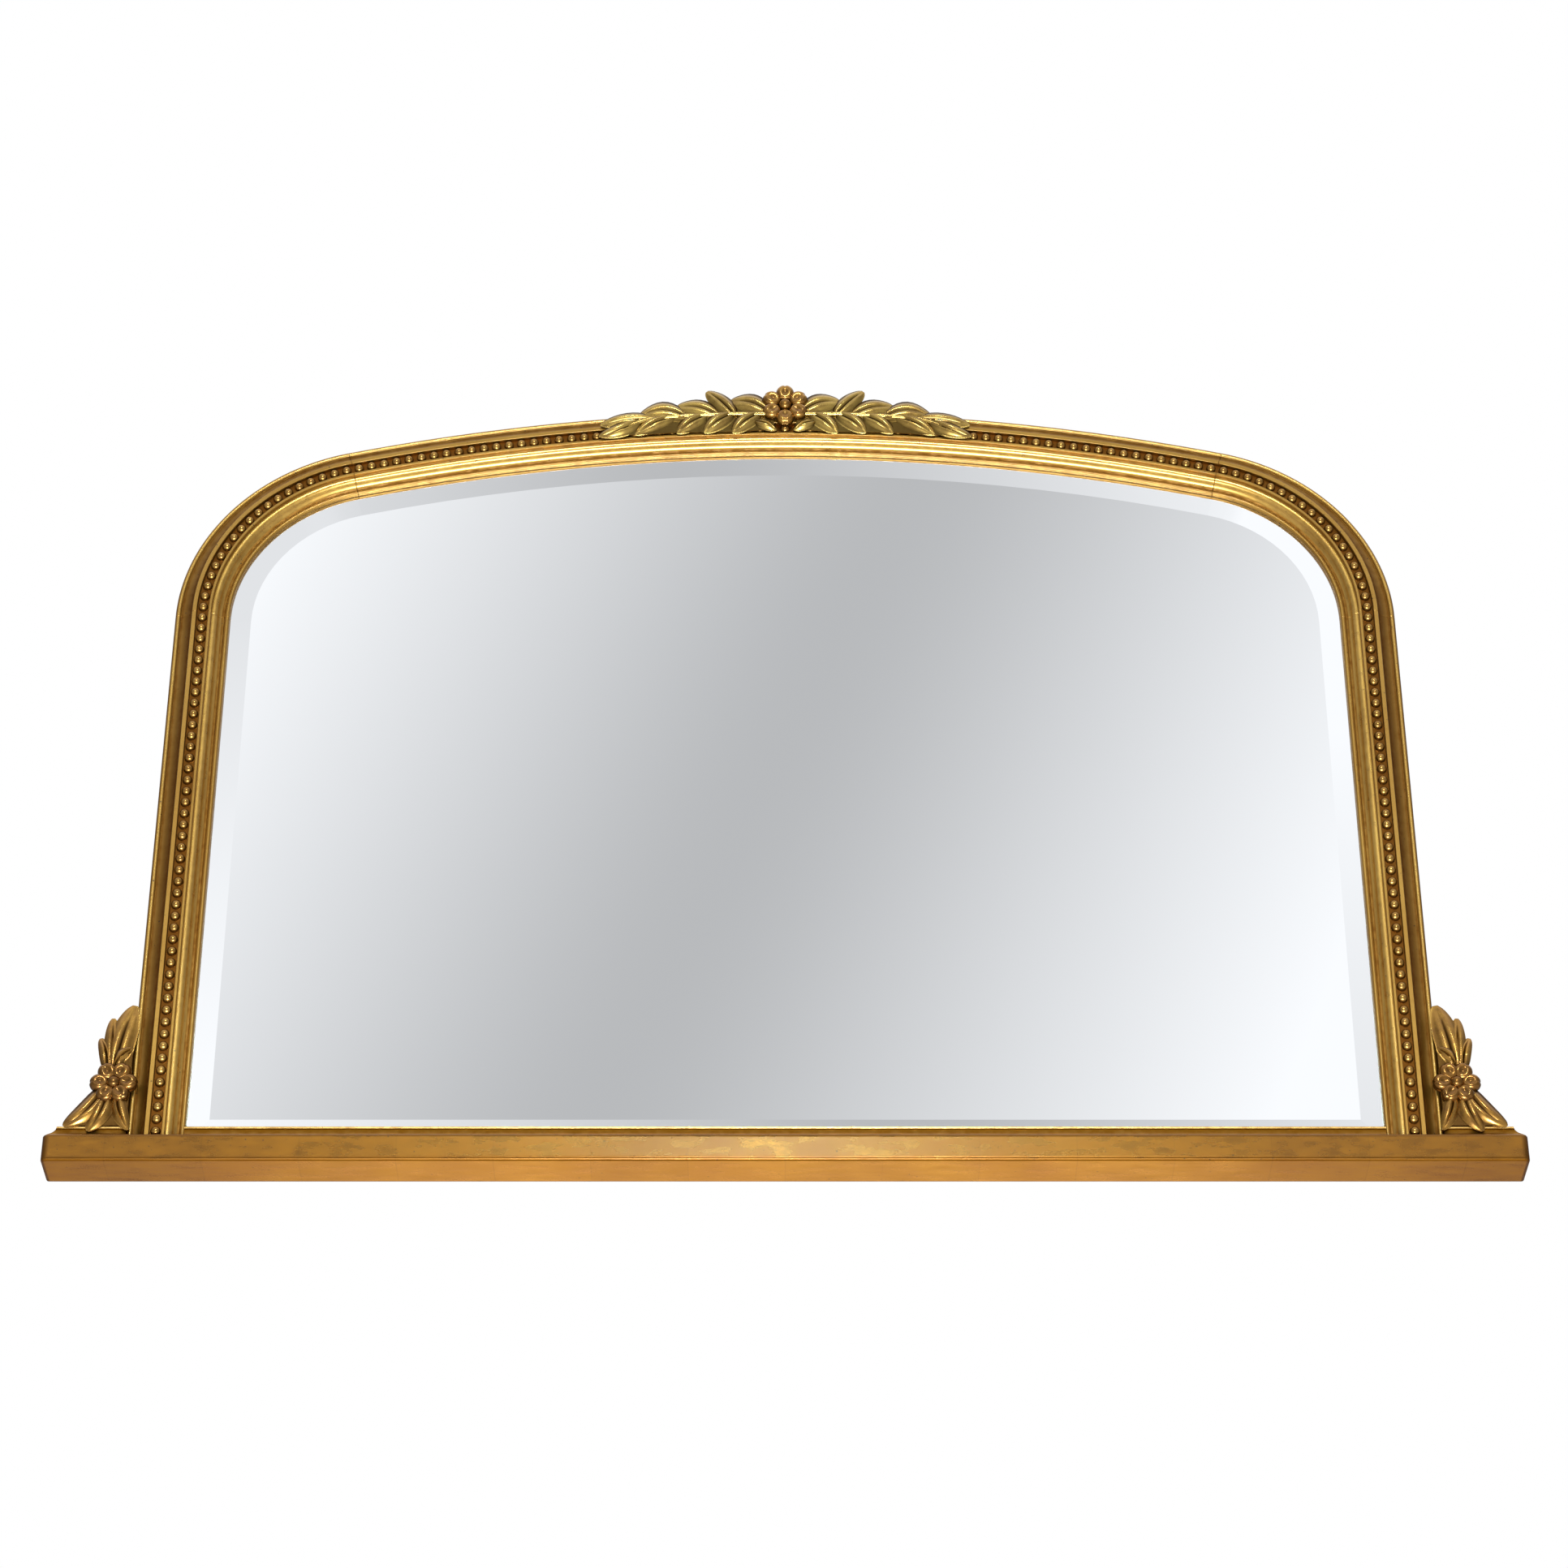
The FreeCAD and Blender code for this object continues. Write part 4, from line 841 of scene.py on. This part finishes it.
# %% Levels of the cap: height, reach in front, wear_and_shade, and flow at an end, in millimetres
# Everything below the lip is darkened, most under its overhang: painted shade, over bole.
CAP_LEVELS = (
    (0.0, 3.5, 0.9, 9.2),
    (0.8, 3.4, 0.9, 9.2),
    (1.6, 2.0, 0.8, 9.1),
    (3.0, 0.6, 0.8, 8.7),
    (4.0, 0.0, 0.8, 7.8),
    (5.0, -0.6, 0.8, 6.2),
    (6.0, -1.0, 0.85, 4.3),
    (7.2, -1.3, 0.9, 2.7),
    (9.4, -1.5, 1.0, 0.8),
    (9.8, -0.3, 0.8, 0.4),
    (10.2, 0.0, 0.0, 0.0),
    (11.3, 0.0, 0.0, 0.0),
    (11.8, -0.4, 0.0, -0.4),
    (12.0, -1.0, 0.1, -1.0),
)
LIP_BACK = 2.0
print(len(CAP_LEVELS), "levels in the cap")


# %% Cap
def cap_length(name, flow_left, flow_right):
    """A length of the cap; a flow is 1 where the hollow turns round that end, and 0 at a square end."""
    low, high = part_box(name)
    lip_front = -low.y - CAP_LEVELS[0][1] * MM
    bm, layer = gilded_start()
    verts = bmesh.ops.create_grid(bm, x_segments=1, y_segments=1, size=1)["verts"]
    corners = {(vert.co.x > 0, vert.co.y < 0): vert for vert in verts}
    for i, (height, reach, wear_and_shade, flow) in enumerate(CAP_LEVELS):
        if i > 0:
            face = next(face for face in bm.faces if set(face.verts) == set(corners.values()))
            fresh = new_verts(bmesh.ops.extrude_face_region(bm, geom=[face]))
            below = corners
            corners = {}
            for corner, old in below.items():
                corners[corner] = min(fresh, key=lambda vert: (vert.co - old.co).length)
            if i > 1:
                bmesh.ops.delete(bm, geom=[face], context="FACES_ONLY")
        left = low.x + flow_left * (LIP_BACK - flow) * MM
        right = high.x - flow_right * (LIP_BACK - flow) * MM
        for (at_right, at_front), vert in corners.items():
            y = -(lip_front + reach * MM) if at_front else high.y
            vert.co = (right if at_right else left, y, low.z + height * MM)
            vert[layer] = wear_and_shade
    finish_piece(bm, name + "_length", name, [gilt_cap], sharp=35)


cap_length("base_cap_left", 1, 0)
cap_length("base_cap_centre", 0, 0)
cap_length("base_cap_right", 0, 1)
print("three lengths of cap")

# %% [markdown]
# ## Leaves and flowers
# The ornaments are moulded to look like carving: lance-shaped leaves with a raised middle, laid over
# each other in a spray, and flowers of round, dished petals. A leaf starts as a flat grid. Its points are
# moved to the outline and lifted to the swelling form, and its rim is then drawn back to the ground.

# %% One leaf
LEAF_LENGTHS, LEAF_WIDTHS = 14, 10
VEIN_DEPTH, VEIN_WIDTH = 0.34, 0.12
FOLD_DEPTH, FOLD_WAVES = 0.08, 1.3
RIM_DROP, RIM_HEIGHT = 0.85, 0.12
ROOT_SHADE = 0.34
GROUND_SHADE = 0.8


def leaf(bm, layer, root, tip, width, height, level, bend, blunt, tilt):
    """A leaf from root to tip, both (x, z), in front of a level; bend bows it, a low blunt rounds it."""
    start = Vector((root[0], 0, root[1]))
    along = Vector((tip[0], 0, tip[1])) - start
    side = Vector((along.z, 0, -along.x)).normalized()
    made = bmesh.ops.create_grid(bm, x_segments=LEAF_LENGTHS, y_segments=LEAF_WIDTHS, size=1)
    for vert in made["verts"]:
        t = (1 - math.cos(math.pi * (vert.co.x + 1) / 2)) / 2
        c = vert.co.y
        # t runs from the root to the tip, and c from edge to edge.
        swell = max(0.02, math.sin(math.pi * min(0.998, 0.02 + 0.978 * t**0.85))) ** blunt
        spine = start + along * t + side * (bend * along.length * math.sin(math.pi * t))
        arch = (0.25 + 0.75 * math.sin(math.pi * (0.14 + 0.78 * t))) * (1 - 0.7 * t**6)
        fade = math.sin(math.pi * min(1.0, 0.25 + 0.75 * t))
        vein = VEIN_DEPTH * math.exp(-((c / VEIN_WIDTH) ** 2)) * fade
        folds = FOLD_DEPTH * math.cos(2 * math.pi * FOLD_WAVES * c) * fade
        lift = height * max(RIM_HEIGHT, arch * (1 - RIM_DROP * c * c) - vein - folds + tilt * c * swell)
        vert.co = spine + side * (width / 2 * swell * c) + Vector((0, -level - lift, 0))
        # Painted shade: the leaf darkens at its rims and on its upper half, along the vein and in the folds,
        # and towards the root where the leaves overlap.
        upper_rim_shade = (0.3 + 0.9 * max(0.0, c * side.z)) * abs(c) ** 3
        hollow_shade = 2.0 * vein + 5.0 * max(0.0, folds)
        vert[layer] = min(1.0, upper_rim_shade + hollow_shade + 1.5 * max(0.0, ROOT_SHADE - t))
    own = set(made["verts"])
    rim = [edge for edge in bm.edges if edge.is_boundary and edge.verts[0] in own]
    grown = bmesh.ops.extrude_edge_only(bm, edges=rim)
    for vert in new_verts(grown):
        vert.co.y = -level
        # The rim walls get painted shade.
        vert[layer] = GROUND_SHADE
    close_holes(bm)


print("leaf of", LEAF_LENGTHS, "by", LEAF_WIDTHS, "faces")


# %% Stem and ground
STEM_WEAR = 0.15
STEM_TAPER, STEM_OVERLAP = 0.92, 1.08


def stem(bm, layer, points, radius, level):
    """A tapering stem through points, each (x, z)."""
    for first, second in zip(points, points[1:]):
        start = Vector((first[0], -level, first[1]))
        run = Vector((second[0], -level, second[1])) - start
        turn = run.to_track_quat("Z", "Y").to_matrix().to_4x4()
        place = Matrix.Translation(start + run / 2) @ turn
        ends = {"radius1": radius, "radius2": radius * STEM_TAPER, "depth": run.length * STEM_OVERLAP}
        made = bmesh.ops.create_cone(bm, cap_ends=True, segments=10, matrix=place, **ends)
        for vert in made["verts"]:
            vert[layer] = STEM_WEAR


def ground_plate(bm, layer, outline, thickness):
    """A flat plate that joins the leaves; the outline is a list of points, drawn forwards by thickness."""
    ring = [bm.verts.new(point) for point in outline]
    plate = bm.faces.new(ring)
    raised = new_verts(bmesh.ops.extrude_face_region(bm, geom=[plate]))
    bmesh.ops.translate(bm, vec=(0, -thickness, 0), verts=raised)
    # The ground between the leaves is darkened as painted shade.
    for vert in ring + raised:
        vert[layer] = GROUND_SHADE


print("helpers for sprays")


# %% One flower
PETALS = 6
DISH_DEPTH, NOTCH_DEPTH = 0.42, 0.22
DISC_THICKNESS = 1.2 * MM
PETAL_RISE, BOSS_RISE, BOSS_SIZE = 0.25, 0.2, 0.7
BOSS_WEAR = 0.35


def petal(bm, layer, centre, outwards, radius):
    """A round petal with a raised rim and a dished, notched middle."""
    made = bmesh.ops.create_icosphere(bm, subdivisions=4, radius=1)
    across_axis = Vector((outwards.z, 0, -outwards.x))
    for vert in made["verts"]:
        out, across, high = vert.co
        # The point starts on a ball of radius 1.
        dish = DISH_DEPTH * math.exp(-((out + 0.15) ** 2 / 0.30 + across**2 / 0.16)) * max(0.0, high)
        notch = NOTCH_DEPTH * math.exp(-(across**2) / 0.015) * max(0.0, out) ** 2
        lift = radius * (0.92 * high - dish - notch * max(0.0, high))
        reach = radius * out * (1.06 - 0.5 * notch)
        vert.co = centre + outwards * reach + across_axis * (across * radius * 1.04) + Vector((0, -lift, 0))
        # Painted shade: each petal darkens towards the ground and in its dish and notch.
        vert[layer] = max(0.0, min(1.0, 0.75 - 1.1 * high)) + 1.1 * dish + notch


def flower(name, finish, centre_x, centre_z, level, reach, petal_radius, phase):
    """A flower of dished petals about a round boss, flat at the back."""
    bm, layer = gilded_start()
    centre = Vector((centre_x, -level - petal_radius * PETAL_RISE, centre_z))
    for i in range(PETALS):
        angle = phase + 2 * math.pi * i / PETALS
        outwards = Vector((math.sin(angle), 0, math.cos(angle)))
        petal(bm, layer, centre + outwards * reach, outwards, petal_radius)
    turn = Matrix.Rotation(math.radians(90), 4, "X")
    disc = Matrix.Translation((centre_x, -level - DISC_THICKNESS / 2, centre_z)) @ turn
    made = bmesh.ops.create_cone(
        bm, cap_ends=True, segments=24, radius1=reach, radius2=reach, depth=DISC_THICKNESS, matrix=disc
    )
    # The disc fills the gaps behind the petals and is fully darkened as painted shade.
    for vert in made["verts"]:
        vert[layer] = 1.0
    boss = Matrix.Translation(centre + Vector((0, -petal_radius * BOSS_RISE, 0)))
    made = bmesh.ops.create_icosphere(bm, subdivisions=3, radius=petal_radius * BOSS_SIZE, matrix=boss)
    for vert in made["verts"]:
        vert[layer] = BOSS_WEAR
    whole = bm.verts[:] + bm.edges[:] + bm.faces[:]
    back = {"plane_co": (0, -level, 0), "plane_no": (0, 1, 0)}
    bmesh.ops.bisect_plane(bm, geom=whole, clear_outer=True, **back)
    close_holes(bm)
    finish_piece(bm, name + "_bloom", name, [finish], sharp=70)


print("flower of", PETALS, "petals")

# %% [markdown]
# ## Sprays
# Each leaf is a row in a list: its root and tip in millimetres from the middle of the flower, its width,
# its bow, how blunt it is and how it tilts. One list serves both sides, because the left is the right
# turned over. In the crest the leaves bow upwards and droop at the tip.

# %% Leaves of the crest and the corners
CREST_LEAVES = (
    ((16, -6), (53, 6), 24, -0.1, 0.45, -0.05),
    ((48, -11), (75, 18), 19, -0.02, 0.45, -0.05),
    ((64, -11), (104, -1), 22, -0.08, 0.45, -0.05),
    ((94, -13), (140, -13), 23, -0.15, 0.45, -0.05),
    ((124, -16), (176, -22), 17, -0.03, 0.5, -0.35),
    ((28, -19), (8, -28), 12, 0.05, 0.6, -0.1),
    ((24, -9), (50, -32), 19, -0.05, 0.55, -0.25),
    ((50, -10), (77, -32), 19, -0.05, 0.55, -0.25),
    ((74, -11), (103, -32), 19, -0.05, 0.55, -0.25),
    ((104, -13), (143, -34), 18, -0.05, 0.55, -0.25),
    ((136, -18), (177, -36), 16, 0.05, 0.55, -0.4),
)
CREST_STEM = ((14, -10), (52, -10), (91, -12), (129, -16), (152, -25))
CREST_GROUND = ((10, -27), (50, -30), (104, -31), (140, -34), (158, -34), (166, -26))
CREST_GROUND += ((136, -13), (100, -2), (72, 6), (20, 2), (12, -8))
CORNER_LEAVES = (
    ((-1, 12), (-14, 76), 24, 0.02, 0.42, 0.22),
    ((1, 14), (4, 63), 15, 0.0, 0.42, 0.22),
    ((5, 12), (13, 43), 13, -0.06, 0.42, 0.22),
    ((-2, 17), (-16, 33), 10, 0.05, 0.5, 0.8),
    ((6, -6), (38, -43), 20, 0.10, 0.5, -0.1),
    ((3, -10), (17, -48), 19, 0.08, 0.5, 0.1),
    ((-5, -10), (-17, -47), 15, -0.06, 0.55, 0.22),
)
CORNER_GROUND = ((0, 0), (44, 0), (30, 14), (20, 36), (12, 62), (8, 92), (0, 92))
print(2 * len(CREST_LEAVES), "leaves in the crest and", 2 * len(CORNER_LEAVES), "in the corners")


# %% Crest and corner sprays
LEAF_HEIGHT = 5.5 * MM
LEAF_STAGGER, LEAF_LAYERS = 0.25 * MM, 4
STEM_RADIUS = 2.4 * MM
CREST_PLATE = 1.2 * MM
CREST_LEVEL = 36.4 * MM
CREST_CENTRE = (0.0, head_high.z - 3 * MM)
cap_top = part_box("base_cap_right")[1].z
CORNER_BACK = 8 * MM
CORNER_LEVEL = 30.8 * MM
CORNER_PLATE = CORNER_LEVEL + 1 * MM - CORNER_BACK
CORNER_CENTRE = (HALF_WIDTH + 15.5 * MM, cap_top + 42.5 * MM)


def spray(bm, layer, leaves, side, centre, level):
    """The leaves of one side; side is +1 on the right and -1 on the left."""
    for i, (root, tip, width, bend, blunt, tilt) in enumerate(leaves):
        start = (side * (centre[0] + root[0] * MM), centre[1] + root[1] * MM)
        end = (side * (centre[0] + tip[0] * MM), centre[1] + tip[1] * MM)
        own_level = level + LEAF_STAGGER * (i % LEAF_LAYERS)
        leaf(bm, layer, start, end, width * MM, LEAF_HEIGHT, own_level, bend * side, blunt, tilt * side)


def crest_spray(side, name):
    bm, layer = gilded_start()
    points = [(side * x * MM, CREST_CENTRE[1] + z * MM) for x, z in CREST_STEM]
    ground = [(side * x * MM, -CREST_LEVEL, CREST_CENTRE[1] + z * MM) for x, z in CREST_GROUND]
    ground_plate(bm, layer, ground, CREST_PLATE)
    stem(bm, layer, points, STEM_RADIUS, CREST_LEVEL + STEM_RADIUS)
    spray(bm, layer, CREST_LEAVES, side, CREST_CENTRE, CREST_LEVEL)
    finish_piece(bm, name + "_leaves", name, [gilt_crest], sharp=50)


def corner_spray(side, name):
    bm, layer = gilded_start()
    ground = [(side * (HALF_WIDTH + x * MM), -CORNER_BACK, cap_top + z * MM) for x, z in CORNER_GROUND]
    ground_plate(bm, layer, ground, CORNER_PLATE)
    spray(bm, layer, CORNER_LEAVES, side, CORNER_CENTRE, CORNER_LEVEL)
    finish_piece(bm, name + "_leaves", name, [gilt_ornament], sharp=50)


crest_spray(1, "crest_spray_right")
crest_spray(-1, "crest_spray_left")
corner_spray(1, "corner_spray_right")
corner_spray(-1, "corner_spray_left")
print("four sprays")

# %% Flowers
CREST_BLOOM = (14.5 * MM, 8.4 * MM, 0)
CORNER_BLOOM = (12.4 * MM, 8.2 * MM, math.radians(30))
bloom_out = CORNER_CENTRE[0] - 1.8 * MM
bloom_z = CORNER_CENTRE[1] - 2 * MM
flower("crest_flower", gilt_ornament, 0, CREST_CENTRE[1], CREST_LEVEL, *CREST_BLOOM)
flower("corner_flower_right", gilt_bloom, bloom_out, bloom_z, CORNER_LEVEL, *CORNER_BLOOM)
flower("corner_flower_left", gilt_bloom, -bloom_out, bloom_z, CORNER_LEVEL, *CORNER_BLOOM)
print("three flowers")

# %% [markdown]
# ## Screws
# Only the heads of the screws show, at the back. Each head is a disc with a cross recess: a small grid
# whose middle row and column are pushed in, with its rim drawn out to a circle. Where the screws are is
# read from the solids, whose loose triangles are merged first.

# %% Places of the screws
SOLID_MERGE = 0.01 * MM


def loose_boxes(name):
    """The boxes of a solid's separate lumps, as (low corner, high corner)."""
    bm = bmesh.new()
    bm.from_mesh(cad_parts[name].data)
    bmesh.ops.remove_doubles(bm, verts=bm.verts, dist=SOLID_MERGE)
    waiting = set(bm.verts)
    boxes = []
    while waiting:
        lump = {waiting.pop()}
        front = list(lump)
        while front:
            vert = front.pop()
            for edge in vert.link_edges:
                other = edge.other_vert(vert)
                if other not in lump:
                    lump.add(other)
                    front.append(other)
        waiting -= lump
        low = Vector([min(vert.co[i] for vert in lump) for i in range(3)])
        high = Vector([max(vert.co[i] for vert in lump) for i in range(3)])
        boxes.append((low, high))
    bm.free()
    return boxes


board_places = loose_boxes("back_board_screws")
hanger_places = loose_boxes("hanger_screws")
print(len(board_places), "screws in the board and", len(hanger_places), "in the hangers")


# %% Screws
RECESS = 0.9 * MM
CONE_DEPTH = 1.9 * MM
SHANK = 0.42
ARM_HALF, ARM_REACH, RIM_FROM = 0.1, 0.7, 0.9


def cross_head(bm, radius):
    """A round head with a cross recess, facing up, with its tapered underside."""
    verts = bmesh.ops.create_grid(bm, x_segments=5, y_segments=5, size=1)["verts"]
    faces = {face for vert in verts for face in vert.link_faces}
    cross = []
    for face in faces:
        middle = face.calc_center_median()
        arms = (abs(middle.x), abs(middle.y))
        if min(arms) < ARM_HALF and max(arms) < ARM_REACH:
            cross.append(face)
    for vert in verts:
        if max(abs(vert.co.x), abs(vert.co.y)) > RIM_FROM:
            vert.co.normalize()
        vert.co *= radius
    rim = [edge for edge in bm.edges if edge.is_boundary and edge.verts[0] in set(verts)]
    cone = new_verts(bmesh.ops.extrude_edge_only(bm, edges=rim))
    bmesh.ops.scale(bm, vec=(SHANK, SHANK, 1), verts=cone)
    bmesh.ops.translate(bm, vec=(0, 0, -CONE_DEPTH), verts=cone)
    floor = new_verts(bmesh.ops.extrude_face_region(bm, geom=cross))
    bmesh.ops.delete(bm, geom=cross, context="FACES_ONLY")
    bmesh.ops.translate(bm, vec=(0, 0, -RECESS), verts=floor)
    return list(set(verts) | set(cone) | set(floor)), cone


def screw_set(name, places):
    """Every screw of a node, each with its head towards the wall."""
    bm = bmesh.new()
    to_wall = Matrix.Rotation(math.radians(-90), 3, "X")
    for low, high in places:
        verts, cone = cross_head(bm, (high.x - low.x) / 2)
        ring = [edge for edge in bm.edges if edge.is_boundary and edge.verts[0] in set(cone)]
        end = new_verts(bmesh.ops.extrude_edge_only(bm, edges=ring))
        bmesh.ops.translate(bm, vec=(0, 0, CONE_DEPTH - (high.y - low.y)), verts=end)
        close_holes(bm)
        verts += end
        bmesh.ops.rotate(bm, cent=(0, 0, 0), matrix=to_wall, verts=verts)
        place = Vector(((low.x + high.x) / 2, high.y, (low.z + high.z) / 2))
        bmesh.ops.translate(bm, vec=place, verts=verts)
    finish_piece(bm, name + "_crossed", name, [zinc], sharp=35)


screw_set("back_board_screws", board_places)
screw_set("hanger_screws", hanger_places)
print("two sets of screws")
